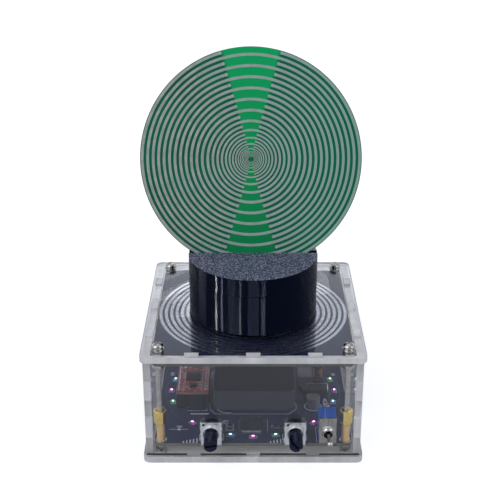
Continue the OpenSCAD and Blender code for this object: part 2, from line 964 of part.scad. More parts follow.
module driver_leads() {
    color(tinned)
        for (side = [-1, 1], i = [0 : lead_count - 1]) {
            along = (i - (lead_count - 1) / 2) * lead_pitch;
            on_board(chip_at + [side * (chip_size[0] + lead_l) / 2, along], [lead_l, lead_w, lead_t]);
            on_board(chip_at + [along, side * (chip_size[1] + lead_l) / 2], [lead_w, lead_l, lead_t]);
        }
}

// Lamp on the ring at an angle from the front, counted towards the right
module led(angle) {
    rotate([0, 0, angle])
        translate([0, -led_ring_r, 0])
            on_board([0, 0], led_size);
}

module leds_pink() {
    color([0.95, 0.6, 0.9])
        for (angle = [0 : 45 : 315])
            led(angle);
}

module leds_cyan() {
    color([0.5, 0.85, 1])
        for (angle = [0 : 90 : 270])
            led(angle - led_spread);
}

module leds_green() {
    color([0.5, 1, 0.6])
        for (angle = [0 : 90 : 270])
            led(angle + led_spread);
}

// Small chip parts in the strips in front of the power module and behind it
module chip_parts(front, rear) {
    for (at = front)
        on_board([at[0], front_mid + at[1]], chip_part_size);
    for (at = rear)
        on_board([at[0], rear_mid + at[1]], chip_part_size);
}

module resistors() {
    color(black_plastic)
        chip_parts(front_resistors, rear_resistors);
}

module ceramic_capacitors() {
    color([0.6, 0.5, 0.38])
        chip_parts(front_ceramics, rear_ceramics);
}

module power_jack() {
    color(black_plastic)
        difference() {
            translate([jack_x - jack_size[0] / 2, jack_back - jack_size[1], board_top])
                cube(jack_size);
            along_y(jack_x, jack_back + past, board_top + jack_size[2] / 2)
                cylinder(d = jack_bore, h = jack_bore_l + past);
        }
}

module jack_pin() {
    color(steel)
        along_y(jack_x, jack_back - jack_pin_set, board_top + jack_size[2] / 2)
            cylinder(d = jack_pin_d, h = jack_bore_l - jack_pin_set);
}

module coil_leads() {
    lead_y = board_w / 2 - coil_lead_edge;
    color([0.6, 0.1, 0.1])
        for (side = [-1, 1])
            translate([side * coil_lead_x, lead_y, board_top])
                cylinder(d = coil_lead_d, h = coil_board_top - board_t - board_top);
}

base_plate();
top_plate();
front_wall();
rear_wall();
left_wall();
right_wall();
main_board();
coil_board();
coil_track();
base_screws();
board_spacers();
post_sleeves();
hex_couplers();
top_screws();
spring_washers();
flat_washers();
coil_spacers();
coil_nuts();
stand_drum();
stand_jaws();
antenna_disc();
front_rings();
rear_rings();
frequency_pot_body();
frequency_pot_plate();
frequency_shaft();
amplitude_pot_body();
amplitude_pot_plate();
amplitude_shaft();
switch_body();
switch_plate();
switch_bushing();
switch_terminals();
switch_lever();
module_board();
module_chip();
module_sockets();
module_pins();
power_module();
capacitors();
relay();
choke_core();
choke_winding();
driver_chip();
driver_leads();
leds_pink();
leds_cyan();
leds_green();
resistors();
ceramic_capacitors();
power_jack();
jack_pin();
coil_leads();
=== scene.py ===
"""Looks of an electromagnetic resonance oscillator: a clear tabbed case with a lit board and a flat coil,
a dark printed stand on its lid and a green ring antenna that leans in the stand's slot."""
import json
import math

import bmesh
import bpy
from mathutils import Matrix, Vector


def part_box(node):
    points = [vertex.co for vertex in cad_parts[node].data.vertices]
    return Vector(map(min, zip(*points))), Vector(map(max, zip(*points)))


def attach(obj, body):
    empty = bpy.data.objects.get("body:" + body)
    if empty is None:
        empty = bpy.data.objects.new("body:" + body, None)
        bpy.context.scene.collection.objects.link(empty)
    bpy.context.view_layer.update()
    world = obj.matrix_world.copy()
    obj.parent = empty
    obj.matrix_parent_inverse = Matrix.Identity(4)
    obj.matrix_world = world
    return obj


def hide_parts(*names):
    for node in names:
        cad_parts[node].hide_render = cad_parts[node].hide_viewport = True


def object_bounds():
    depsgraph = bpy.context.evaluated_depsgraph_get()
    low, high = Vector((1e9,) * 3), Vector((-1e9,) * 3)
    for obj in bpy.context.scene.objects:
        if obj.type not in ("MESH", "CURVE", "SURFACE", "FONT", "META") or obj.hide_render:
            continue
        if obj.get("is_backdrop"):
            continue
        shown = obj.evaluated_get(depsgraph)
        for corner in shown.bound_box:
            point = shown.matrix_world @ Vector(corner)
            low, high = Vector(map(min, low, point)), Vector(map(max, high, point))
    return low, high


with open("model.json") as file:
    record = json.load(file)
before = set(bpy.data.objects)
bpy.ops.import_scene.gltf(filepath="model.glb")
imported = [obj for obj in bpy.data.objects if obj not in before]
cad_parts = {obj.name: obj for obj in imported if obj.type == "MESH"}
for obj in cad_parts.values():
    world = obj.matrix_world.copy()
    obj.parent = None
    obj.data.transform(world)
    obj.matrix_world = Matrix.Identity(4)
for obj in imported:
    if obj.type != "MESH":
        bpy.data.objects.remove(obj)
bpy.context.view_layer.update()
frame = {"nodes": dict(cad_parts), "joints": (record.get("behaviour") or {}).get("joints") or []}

MM = 0.001


def node_box(node):
    """Lowest and highest corner of a CAD node, in millimetres."""
    low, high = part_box(node)
    return Vector(low) / MM, Vector(high) / MM


# Measures in millimetres, taken from the frame where it has them
BOARD_TOP = node_box("main_board")[1].z
LID_UNDER, LID_TOP = (corner.z for corner in node_box("top_plate"))
STAND_TOP = node_box("stand_jaws")[1].z
SLOT_FLOOR = node_box("stand_drum")[1].z
STAND_R = node_box("stand_drum")[1].x
HEX_R = 2.5 / math.cos(math.radians(30))
POST = node_box("hex_couplers")[1].x - HEX_R
DISC_LOW, DISC_HIGH = node_box("antenna_disc")
LIFT = Vector(next(j for j in frame["joints"] if j["name"] == "antenna_lift")["axis"])
LEAN = math.atan2(LIFT.y, LIFT.z)
DISC_FACING = Vector((0, -math.cos(LEAN), math.sin(LEAN)))
LAMP_RING = 39.3
PRINT_T, TRACE_T = 0.03, 0.012
POT_HALF_W = 4.65
KNOB_X = {"frequency": -18.65, "amplitude": 18.65}
KNOB_Z = 13.8
SPLITS = {"frequency": math.radians(10), "amplitude": math.radians(-45)}
SWITCH = Vector((33.0, -46.3, 14.55))
LEVER_ANGLE = math.radians(10)
CORNERS = [(x, y) for x in (-POST, POST) for y in (-POST, POST)]


# Shapes, all in millimetres

def bevel_edges(shape, edges, width, segments=2, clamp=True):
    bmesh.ops.bevel(shape, geom=edges, offset=width, offset_type="OFFSET", affect="EDGES", segments=segments,
                    profile=0.5, material=-1, clamp_overlap=clamp)
    return shape


def round_edges(shape, width, segments=2, angle=30):
    """Rounds every edge that turns by more than the angle."""
    limit = math.radians(angle)
    sharp = [e for e in shape.edges if len(e.link_faces) == 2 and e.calc_face_angle(0) > limit]
    return bevel_edges(shape, sharp, width, segments)


def box_shape(low, high, bevel=0.0, segments=2):
    shape = bmesh.new()
    low, high = Vector(low), Vector(high)
    place = Matrix.Translation((low + high) / 2) @ Matrix.Diagonal((*(high - low), 1))
    bmesh.ops.create_cube(shape, size=1.0, matrix=place)
    return round_edges(shape, bevel, segments) if bevel else shape


def standing_box(x, y, size, z=BOARD_TOP, bevel=0.0):
    """Box given by the middle of its foot."""
    half_w, half_d = size[0] / 2, size[1] / 2
    return box_shape((x - half_w, y - half_d, z), (x + half_w, y + half_d, z + size[2]), bevel)


def drum_shape(radius, low, high, sides=32, bevel=0.0):
    shape = bmesh.new()
    bmesh.ops.create_cone(shape, cap_ends=True, segments=sides, radius1=radius, radius2=radius,
                          depth=high - low, matrix=Matrix.Translation((0, 0, (low + high) / 2)))
    return round_edges(shape, bevel, 2, 60) if bevel else shape


def prism_shape(outline, low, high):
    """Flat outline in X and Y, raised from one height to the other."""
    shape = bmesh.new()
    face = shape.faces.new([shape.verts.new((x, y, low)) for x, y in outline])
    raised = bmesh.ops.extrude_face_region(shape, geom=[face])
    lifted = [v for v in raised["geom"] if isinstance(v, bmesh.types.BMVert)]
    bmesh.ops.translate(shape, vec=(0, 0, high - low), verts=lifted)
    bmesh.ops.recalc_face_normals(shape, faces=shape.faces)
    return shape


def turned_shape(profile, steps=32, closed=False):
    """Profile of (radius, height) points turned round the Z axis; a closed one is a ring's section."""
    shape = bmesh.new()
    points = [shape.verts.new((r, 0, z)) for r, z in profile]
    pairs = list(zip(points, points[1:])) + ([(points[-1], points[0])] if closed else [])
    edges = [shape.edges.new(pair) for pair in pairs]
    bmesh.ops.spin(shape, geom=points + edges, cent=(0, 0, 0), axis=(0, 0, 1), dvec=(0, 0, 0),
                   angle=2 * math.pi, steps=steps, use_merge=True, use_duplicate=False)
    bmesh.ops.remove_doubles(shape, verts=shape.verts, dist=1e-4)
    bmesh.ops.recalc_face_normals(shape, faces=shape.faces)
    return shape


def ring_shape(inner, outer, low, high, steps):
    """Flat-sided ring round the Z axis."""
    return turned_shape([(inner, low), (outer, low), (outer, high), (inner, high)], steps, True)


def thread_profile(crest, root, low, high, pitch):
    """Radius and height points of a threaded rod between two heights."""
    turns = int((high - low) / pitch)
    points = [(0, low), (root, low)]
    for i in range(turns):
        points += [(crest, low + (i + 0.4) * pitch), (crest, low + (i + 0.6) * pitch),
                   (root, low + (i + 1) * pitch)]
    return points + [(root, high), (0, high)]


def placed(shape, matrix):
    bmesh.ops.transform(shape, matrix=matrix, verts=shape.verts)
    return shape


def at(x=0.0, y=0.0, z=0.0):
    return Matrix.Translation((x, y, z))


def rotation(degrees, axis):
    return Matrix.Rotation(math.radians(degrees), 4, axis)


def to_front(x, y, z):
    """Places a shape drawn along Z so that it runs to the front from a point."""
    return at(x, y, z) @ rotation(90, "X")


def joined(*shapes):
    """One shape from several, which are used up."""
    whole = bmesh.new()
    for part in shapes:
        mesh = bpy.data.meshes.new("part")
        part.to_mesh(mesh)
        part.free()
        whole.from_mesh(mesh)
        bpy.data.meshes.remove(mesh)
    return whole


def copies(shape, places):
    """One shape with a copy of another at each place, which is used up."""
    mesh = bpy.data.meshes.new("part")
    shape.to_mesh(mesh)
    shape.free()
    whole = bmesh.new()
    for place in places:
        done = set(whole.verts)
        whole.from_mesh(mesh)
        bmesh.ops.transform(whole, matrix=place, verts=[v for v in whole.verts if v not in done])
    bpy.data.meshes.remove(mesh)
    return whole


def at_corners(shape):
    return copies(shape, [at(x, y) for x, y in CORNERS])


def node_shape(node, bevel=0.0, segments=2):
    """Merged copy of a CAD node with its flat faces whole and its edges rounded."""
    shape = bmesh.new()
    shape.from_mesh(frame["nodes"][node].data)
    bmesh.ops.scale(shape, vec=(1 / MM,) * 3, verts=shape.verts)
    bmesh.ops.remove_doubles(shape, verts=shape.verts, dist=2e-3)
    bmesh.ops.dissolve_limit(shape, angle_limit=math.radians(0.5), verts=shape.verts, edges=shape.edges)
    return round_edges(shape, bevel, segments) if bevel else shape


def painted(shape, index, test=None):
    """Gives the faces that pass the test another of the piece's finishes."""
    for face in shape.faces:
        if test is None or test(face):
            face.material_index = index
    return shape


def half_space(shape, point, normal):
    """Keeps what lies behind a plane and closes the cut."""
    cut = bmesh.ops.bisect_plane(shape, geom=shape.verts[:] + shape.edges[:] + shape.faces[:], dist=1e-5,
                                 plane_co=point, plane_no=normal, clear_outer=True)
    rim = [e for e in cut["geom_cut"] if isinstance(e, bmesh.types.BMEdge)]
    bmesh.ops.holes_fill(shape, edges=rim, sides=0)
    bmesh.ops.recalc_face_normals(shape, faces=shape.faces)
    return shape


def piece(name, shape, finishes, body="case", stands_for=()):
    bmesh.ops.scale(shape, vec=(MM,) * 3, verts=shape.verts)
    mesh = bpy.data.meshes.new(name)
    shape.to_mesh(mesh)
    shape.free()
    for finish in finishes if isinstance(finishes, (list, tuple)) else [finishes]:
        mesh.materials.append(finish)
    mesh.shade_smooth()
    mesh.set_sharp_from_angle(angle=math.radians(25))
    made = bpy.data.objects.new(name, mesh)
    bpy.context.scene.collection.objects.link(made)
    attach(made, body)
    if stands_for:
        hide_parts(*stands_for)
    return made


def eased(name, node, bevel, finishes):
    """Piece that is a CAD node with its edges rounded."""
    return piece(name, node_shape(node, bevel), finishes, stands_for=[node])


def dress(node, finish):
    """Gives a CAD node that stays in view its finish."""
    mesh = frame["nodes"][node].data
    mesh.materials.clear()
    mesh.materials.append(finish)


# Finishes

def new_group(name, inputs, outputs):
    group = bpy.data.node_groups.new(name, "ShaderNodeTree")
    for socket, kind, value in inputs:
        group.interface.new_socket(socket, in_out="INPUT", socket_type=kind).default_value = value
    for socket, kind in outputs:
        group.interface.new_socket(socket, in_out="OUTPUT", socket_type=kind)
    return group, group.nodes.new("NodeGroupInput"), group.nodes.new("NodeGroupOutput")


def node_of(tree, kind, links=(), **values):
    """New node with its settings, and its inputs fed by (input, output) links."""
    made = tree.nodes.new("ShaderNode" + kind)
    for key, value in values.items():
        setattr(made, key, value)
    for target, source in links:
        if hasattr(source, "is_linked"):
            tree.links.new(made.inputs[target], source)
        else:
            made.inputs[target].default_value = source
    return made


def maths(tree, operation, *terms, clamp=False):
    return node_of(tree, "Math", list(enumerate(terms)), operation=operation, use_clamp=clamp).outputs[0]


def blended(tree, factor, first, second):
    return node_of(tree, "Mix", [(0, factor), (6, first), (7, second)], data_type="RGBA").outputs[2]


def vector_maths(tree, operation, *terms):
    return node_of(tree, "VectorMath", list(enumerate(terms)), operation=operation).outputs


def ranged(tree, value, low, high, start=0.0, end=1.0, **how):
    inputs = [(0, value), (1, low), (2, high), (3, start), (4, end)]
    return node_of(tree, "MapRange", inputs, **how).outputs[0]


def object_place(tree):
    return node_of(tree, "TexCoord").outputs["Object"]


def make_mottle():
    """Uneven colour, roughness and height, as a surface has it close up."""
    group, given, out = new_group("mottle", [("Colour", "NodeSocketColor", (1, 1, 1, 1)),
                                             ("Second colour", "NodeSocketColor", (0, 0, 0, 1)),
                                             ("Scale", "NodeSocketFloat", 400.0),
                                             ("Stretch", "NodeSocketVector", (1, 1, 1)),
                                             ("Roughness", "NodeSocketFloat", 0.4),
                                             ("Spread", "NodeSocketFloat", 0.1)],
                                  [("Colour", "NodeSocketColor"), ("Roughness", "NodeSocketFloat"),
                                   ("Height", "NodeSocketFloat")])
    place = object_place(group)
    stretched = node_of(group, "VectorMath", [(0, place), (1, given.outputs["Stretch"])], operation="MULTIPLY")
    coarse = node_of(group, "TexNoise", [("Vector", stretched.outputs[0]), ("Scale", given.outputs["Scale"]),
                                         ("Detail", 4.0)])
    fine_scale = maths(group, "MULTIPLY", given.outputs["Scale"], 7.0)
    fine = node_of(group, "TexNoise", [("Vector", stretched.outputs[0]), ("Scale", fine_scale),
                                       ("Detail", 2.0)])
    patches = ranged(group, coarse.outputs["Fac"], 0.35, 0.65)
    colour = blended(group, patches, given.outputs["Colour"], given.outputs["Second colour"])
    swing = maths(group, "MULTIPLY", maths(group, "SUBTRACT", fine.outputs["Fac"], 0.5),
                  given.outputs["Spread"])
    rough = maths(group, "ADD", given.outputs["Roughness"], swing, clamp=True)
    group.links.new(out.inputs["Colour"], colour)
    group.links.new(out.inputs["Roughness"], rough)
    group.links.new(out.inputs["Height"], fine.outputs["Fac"])
    return group


MOTTLE = make_mottle()
SHORT_NAMES = {"spec": "Specular IOR Level", "metal": "Metallic"}


def finish(name, colour, second, rough, spread=0.2, scale=400.0, stretch=(1, 1, 1), bump=0.0, **sockets):
    """Material of two mixed colours; bump is the depth of its grain in millimetres."""
    made = bpy.data.materials.new(name)
    made.use_nodes = True
    tree = made.node_tree
    shader = tree.nodes["Principled BSDF"]
    mottle = node_of(tree, "Group", node_tree=MOTTLE)
    for key, value in (("Colour", (*colour, 1)), ("Second colour", (*second, 1)), ("Scale", scale),
                       ("Stretch", stretch), ("Roughness", rough), ("Spread", spread)):
        mottle.inputs[key].default_value = value
    tree.links.new(shader.inputs["Base Color"], mottle.outputs["Colour"])
    tree.links.new(shader.inputs["Roughness"], mottle.outputs["Roughness"])
    if bump:
        grain = node_of(tree, "Bump", [("Height", mottle.outputs["Height"]), ("Strength", 1.0),
                                       ("Distance", bump * MM)])
        tree.links.new(shader.inputs["Normal"], grain.outputs[0])
    for key, value in sockets.items():
        shader.inputs[SHORT_NAMES.get(key, key.replace("_", " "))].default_value = value
    return made


def mottle_of(tree):
    return next(n for n in tree.nodes if n.type == "GROUP")


def clear_finish(name, tint, rough, **sockets):
    """Clear sheet that lets the lamps' light through."""
    made = finish(name, tint, tuple(c * 0.985 for c in tint), rough, 0.03, 30.0, Transmission_Weight=1.0,
                  IOR=1.49, **sockets)
    tree = made.node_tree
    shader, out = tree.nodes["Principled BSDF"], tree.nodes["Material Output"]
    clear = node_of(tree, "BsdfTransparent", [("Color", (0.94, 0.95, 0.96, 1))])
    path = node_of(tree, "LightPath")
    mixed = node_of(tree, "MixShader", [(0, path.outputs["Is Shadow Ray"]), (1, shader.outputs[0]),
                                        (2, clear.outputs[0])])
    tree.links.new(out.inputs["Surface"], mixed.outputs[0])
    return made


def lamp_finish(name, colour, strength):
    made = finish(name, colour, tuple(c * 0.9 for c in colour), 0.3, 0.1, 900.0)
    shader = made.node_tree.nodes["Principled BSDF"]
    shader.inputs["Emission Color"].default_value = (*colour, 1)
    shader.inputs["Emission Strength"].default_value = strength
    return made


POLISHED = clear_finish("polished_sheet", (0.985, 0.99, 0.995), 0.01, spec=0.07)
POLISHED_LID = clear_finish("polished_lid", (0.985, 0.99, 0.995), 0.01, spec=0.4)
CUT_EDGE = finish("cut_sheet_edge", (0.91, 0.90, 0.895), (0.77, 0.76, 0.76), 0.34, 0.25, 260.0, (1, 1, 0.15),
                  0.004, Transmission_Weight=0.25, IOR=1.49)
# Painted shade: the dark line where the walls' bottom edges meet the base plate, between the tabs
PAINTED_GAP_SHADE = finish("painted_gap_shade", (0.24, 0.24, 0.265), (0.17, 0.17, 0.19), 0.6, 0.2, 500.0)
BOARD_MASK = finish("navy_board_mask", (0.015, 0.024, 0.078), (0.020, 0.031, 0.094), 0.36, 0.2, 130.0,
                    bump=0.004, spec=0.09)
COIL_MASK = finish("navy_coil_mask", (0.008, 0.013, 0.044), (0.012, 0.018, 0.055), 0.36, 0.2, 130.0, bump=0.004,
                   spec=0.1)
BOARD_TRACE = finish("masked_copper_trace", (0.034, 0.040, 0.078), (0.028, 0.034, 0.068), 0.32, 0.2, 300.0,
                     spec=0.25)
BOARD_EDGE = finish("fibreglass_edge", (0.17, 0.16, 0.13), (0.10, 0.095, 0.08), 0.6, 0.3, 900.0, (1, 1, 6),
                    0.01)
PALE_EDGE = finish("pale_fibreglass_edge", (0.20, 0.18, 0.18), (0.13, 0.12, 0.12), 0.6, 0.3, 900.0, (1, 1, 6),
                   0.01)
PRINT_WHITE = finish("white_print", (0.62, 0.64, 0.66), (0.5, 0.52, 0.55), 0.6, 0.2, 2000.0)
TINNED = finish("tinned_copper", (0.50, 0.51, 0.56), (0.40, 0.41, 0.46), 0.26, 0.2, 500.0, bump=0.003,
                metal=1.0)
SOLDER = finish("solder", (0.62, 0.62, 0.63), (0.5, 0.5, 0.52), 0.25, 0.2, 900.0, metal=1.0)
SCREW_STEEL = finish("nickel_steel", (0.54, 0.52, 0.50), (0.40, 0.38, 0.36), 0.18, 0.2, 700.0, bump=0.003,
                     metal=1.0)
BRASS = finish("turned_brass", (0.88, 0.67, 0.22), (0.72, 0.53, 0.15), 0.2, 0.2, 600.0, (1, 1, 8), 0.004,
               metal=1.0)
TAN_BRASS = finish("dull_brass", (0.92, 0.64, 0.31), (0.78, 0.52, 0.24), 0.4, 0.2, 600.0, (1, 1, 8), 0.004,
                   metal=0.6)
PLATED = finish("bright_plated_steel", (0.82, 0.84, 0.88), (0.70, 0.72, 0.76), 0.24, 0.2, 500.0, (1, 1, 5),
                0.003, metal=0.9)
DULL_STEEL = finish("dull_plated_steel", (0.38, 0.375, 0.36), (0.28, 0.275, 0.265), 0.20, 0.2, 500.0, (1, 1, 5),
                    0.003, metal=1.0)
BLACK = finish("black_plastic", (0.007, 0.0075, 0.010), (0.010, 0.0105, 0.014), 0.42, 0.25, 700.0, bump=0.008,
               spec=0.2)
KNOB_BLACK = finish("control_black", (0.009, 0.012, 0.031), (0.013, 0.016, 0.039), 0.24, 0.15, 600.0,
                    bump=0.003, spec=0.18)
CHIP_BLACK = finish("chip_black", (0.015, 0.017, 0.034), (0.022, 0.024, 0.044), 0.5, 0.25, 1500.0, bump=0.006,
                    spec=0.15)
SWITCH_BLUE = finish("blue_moulding", (0.002, 0.082, 0.46), (0.004, 0.105, 0.54), 0.35, 0.2, 500.0, bump=0.005,
                     spec=0.12)
MODULE_RED = finish("red_board_mask", (0.46, 0.055, 0.080), (0.26, 0.034, 0.050), 0.35, 0.25, 700.0, bump=0.006,
                    spec=0.3)
# Potted top: its own dark colour, painted darker still as shade under the coil board
POTTING_AND_PAINTED_SHADE = finish("potting_with_painted_shade", (0.019, 0.021, 0.044), (0.023, 0.025, 0.051), 0.6, 0.1, 70.0, bump=0.001,
                 spec=0.02)
POTTING_SHELL = finish("potting_shell", (0.054, 0.057, 0.088), (0.066, 0.070, 0.104), 0.42, 0.25, 350.0,
                       bump=0.003, spec=0.2)
RELAY_GREY = finish("relay_grey", (0.085, 0.088, 0.118), (0.100, 0.104, 0.136), 0.4, 0.2, 400.0, bump=0.004,
                    spec=0.3)
SLEEVE = finish("capacitor_sleeve", (0.026, 0.029, 0.048), (0.034, 0.037, 0.058), 0.3, 0.2, 500.0, spec=0.3)
CAN_TOP = finish("scored_can_top", (0.085, 0.088, 0.105), (0.065, 0.068, 0.084), 0.4, 0.2, 600.0, metal=0.3)
CAN_BODY = finish("drawn_can", (0.20, 0.21, 0.26), (0.15, 0.16, 0.20), 0.34, 0.2, 600.0, metal=0.7)
CAN = finish("capacitor_can", (0.40, 0.42, 0.47), (0.33, 0.35, 0.40), 0.3, 0.2, 600.0, metal=1.0)
FERRITE = finish("ferrite", (0.030, 0.030, 0.036), (0.044, 0.044, 0.052), 0.6, 0.3, 900.0, bump=0.012,
                 spec=0.25)
COPPER = finish("enamelled_copper", (0.26, 0.10, 0.065), (0.20, 0.07, 0.045), 0.3, 0.2, 900.0, metal=0.7)
LUG_TIN = finish("dull_lug_tin", (0.46, 0.44, 0.39), (0.36, 0.34, 0.30), 0.4, 0.2, 800.0, metal=0.3)
CERAMIC = finish("pale_ceramic", (0.30, 0.28, 0.27), (0.24, 0.22, 0.21), 0.5, 0.2, 2000.0)
LEAD_RED = finish("red_wire", (0.30, 0.02, 0.02), (0.24, 0.015, 0.015), 0.4, 0.2, 900.0)
LAMPS = {"pink": ((0.60, 0.05, 0.55), (1.0, 0.55, 0.92)), "cyan": ((0.03, 0.34, 0.70), (0.42, 0.82, 1.0)),
         "green": ((0.02, 0.45, 0.16), (0.42, 1.0, 0.56))}


def stand_side_finish():
    """Glossy dark print: fine layers that draw each lamp out into an upright streak."""
    made = finish("dark_print_side", (0.0020, 0.0036, 0.0118), (0.0028, 0.0048, 0.0150), 0.15, 0.04, 120.0,
                  (1, 1, 0.2), spec=0.03, Anisotropic=0.96, Anisotropic_Rotation=0.25)
    tree = made.node_tree
    shader = tree.nodes["Principled BSDF"]
    place = object_place(tree)
    layers = node_of(tree, "TexWave", [("Vector", place), ("Scale", 1250.0), ("Distortion", 0.0)],
                     wave_type="BANDS", bands_direction="Z")
    layer_tilt = 0.7
    tilt = maths(tree, "MULTIPLY", maths(tree, "SUBTRACT", layers.outputs["Fac"], 0.5), layer_tilt)
    upright = node_of(tree, "CombineXYZ", [("Z", tilt)]).outputs[0]
    facing = node_of(tree, "NewGeometry").outputs["Normal"]
    tilted = vector_maths(tree, "ADD", facing, upright)[0]
    relief = node_of(tree, "VectorMath", [(0, tilted)], operation="NORMALIZE")
    round_z = node_of(tree, "Tangent", direction_type="RADIAL", axis="Z")
    tree.links.new(shader.inputs["Normal"], relief.outputs[0])
    tree.links.new(shader.inputs["Tangent"], round_z.outputs[0])
    return made


def stand_top_finish():
    """Face that was printed on a rough plate: grey-blue with a bumped grain whose lighter specks are painted
    sparkle.
    """
    made = finish("dark_print_top", (0.015, 0.019, 0.044), (0.023, 0.027, 0.060), 0.42, 0.3, 500.0)
    tree = made.node_tree
    shader = tree.nodes["Principled BSDF"]
    mottle = mottle_of(tree)
    place = object_place(tree)
    grain_and_painted_sparkle = node_of(tree, "TexNoise", [("Vector", place), ("Scale", 1500.0), ("Detail", 1.0),
                                        ("Roughness", 0.6)])
    # painted highlight: the grain's lighter specks are painted into the colour as its sparkle
    mask = ranged(tree, grain_and_painted_sparkle.outputs["Fac"], 0.52, 0.62)
    colour = blended(tree, mask, mottle.outputs["Colour"], (0.37, 0.37, 0.51, 1))
    relief = node_of(tree, "Bump", [("Height", grain_and_painted_sparkle.outputs["Fac"]), ("Strength", 0.8), ("Distance", 0.0002)])
    tree.links.new(shader.inputs["Base Color"], colour)
    tree.links.new(shader.inputs["Normal"], relief.outputs[0])
    return made


def make_disc_wash():
    """Share of the tint that grows from the disc's left side to its right, in uneven patches."""
    group, given, out = new_group("disc_wash", [("Patches", "NodeSocketFloat", 60.0),
                                                ("Spread", "NodeSocketFloat", 0.06)],
                                  [("Share", "NodeSocketFloat")])
    place = object_place(group)
    noise = node_of(group, "TexNoise", [("Vector", place), ("Scale", given.outputs["Patches"]),
                                        ("Detail", 5.0)]).outputs["Fac"]
    swing = maths(group, "MULTIPLY", maths(group, "SUBTRACT", noise, 0.5), given.outputs["Spread"])
    across = node_of(group, "SeparateXYZ", [(0, place)]).outputs["X"]
    share = ranged(group, maths(group, "ADD", across, swing), -0.032, 0.034)
    group.links.new(out.inputs["Share"], share)
    return group


DISC_WASH = make_disc_wash()


def ring_finish():
    """Tinned rings, warm grey at the left and taking on the mask's green to the right."""
    made = finish("ring_tin", (0.44, 0.48, 0.43), (0.33, 0.37, 0.33), 0.36, 0.25, 300.0, bump=0.006, metal=0.55)
    tree = made.node_tree
    mottle = mottle_of(tree)
    wash = node_of(tree, "Group", node_tree=DISC_WASH)
    colour = blended(tree, wash.outputs["Share"], mottle.outputs["Colour"], (0.33, 0.49, 0.41, 1))
    tree.links.new(tree.nodes["Principled BSDF"].inputs["Base Color"], colour)
    return made


def disc_mask_finish():
    """Green mask, brighter in the hourglass where the rings are open: partly bare-board colour, partly painted
    light.
    """
    made = finish("green_disc_mask", (0.0014, 0.100, 0.048), (0.0018, 0.130, 0.066), 0.34, 0.2, 60.0,
                  bump=0.004, spec=0.13)
    tree = made.node_tree
    shader = tree.nodes["Principled BSDF"]
    mottle = mottle_of(tree)
    middle = (DISC_LOW + DISC_HIGH) / 2 * MM
    place = object_place(tree)
    own = vector_maths(tree, "SUBTRACT", place, middle)[0]
    across = vector_maths(tree, "DOT_PRODUCT", own, (1, 0, 0))["Value"]
    along = vector_maths(tree, "DOT_PRODUCT", own, LIFT)["Value"]
    slope = maths(tree, "ABSOLUTE", maths(tree, "DIVIDE", across, along))
    # painted light: the hourglass is painted brighter as if lit through the board, and brighter towards its top
    backlit_wedge = ranged(tree, slope, 0.255, 0.29, 1.0, 0.0)
    high = ranged(tree, along, -0.05, 0.05)
    bright = blended(tree, high, (0.001, 0.20, 0.060, 1), (0.001, 0.40, 0.115, 1))
    wash = node_of(tree, "Group", node_tree=DISC_WASH)
    dark = blended(tree, wash.outputs["Share"], mottle.outputs["Colour"], (0.0028, 0.138, 0.070, 1))
    tree.links.new(shader.inputs["Base Color"], blended(tree, backlit_wedge, dark, bright))
    return made


# Clear case

PLATE_BEVEL, WALL_BEVEL = 0.12, 0.1
SHOULDER_DROP = 0.08  # lets the walls' cut edges show through the lid
NEAR_LID = 0.12

for plate in ("base_plate", "top_plate", "front_wall", "rear_wall", "left_wall", "right_wall"):
    axis = {"base": 2, "top": 2, "front": 1, "rear": 1, "left": 0, "right": 0}[plate.split("_")[0]]
    bevel = PLATE_BEVEL if axis == 2 else WALL_BEVEL
    sheet = painted(node_shape(plate, bevel, 1), 1, lambda face, axis=axis: abs(face.normal[axis]) < 0.95)
    looks = [POLISHED_LID if plate == "top_plate" else POLISHED, CUT_EDGE]
    if plate.endswith("wall"):
        looks.append(PAINTED_GAP_SHADE)
        shoulders = [v for v in sheet.verts if abs(v.co.z - LID_UNDER) < NEAR_LID]
        bmesh.ops.translate(sheet, vec=(0, 0, -SHOULDER_DROP), verts=shoulders)
        # painted shade on the walls' bottom faces between the tabs, for the shaded gap above the base plate
        painted(sheet, 2, lambda face: face.normal.z < -0.9 and 2.0 < face.calc_center_median().z < 4.0)
    piece("clear_" + plate, sheet, looks, stands_for=[plate])


# Boards with their print, pads and traces

def board_rim(face):
    return abs(face.normal.z) < 0.9


for board in ("main_board", "coil_board"):
    piece("navy_" + board, painted(node_shape(board, 0.12, 1), 1, board_rim),
          [COIL_MASK if board == "coil_board" else BOARD_MASK, BOARD_EDGE], stands_for=[board])


def stroke(start, end, width=0.22, z=BOARD_TOP, thick=PRINT_T):
    """Straight printed line."""
    start, end = Vector((*start, 0)), Vector((*end, 0))
    run = end - start
    bar = box_shape((-width / 2, -width / 2, z), (run.length + width / 2, width / 2, z + thick))
    return placed(bar, Matrix.Translation(start) @ Matrix.Rotation(math.atan2(run.y, run.x), 4, "Z"))


def outline(points, width=0.22, closed=True):
    ends = points[1:] + (points[:1] if closed else [])
    return joined(*[stroke(a, b, width) for a, b in zip(points, ends)])


def frame_points(x, y, w, d):
    return [(x - w / 2, y - d / 2), (x + w / 2, y - d / 2), (x + w / 2, y + d / 2), (x - w / 2, y + d / 2)]


def ring_place(angle):
    """Place on the lamp ring at an angle from the front, counted towards the right."""
    return rotation(angle, "Z") @ at(0, -LAMP_RING, 0)


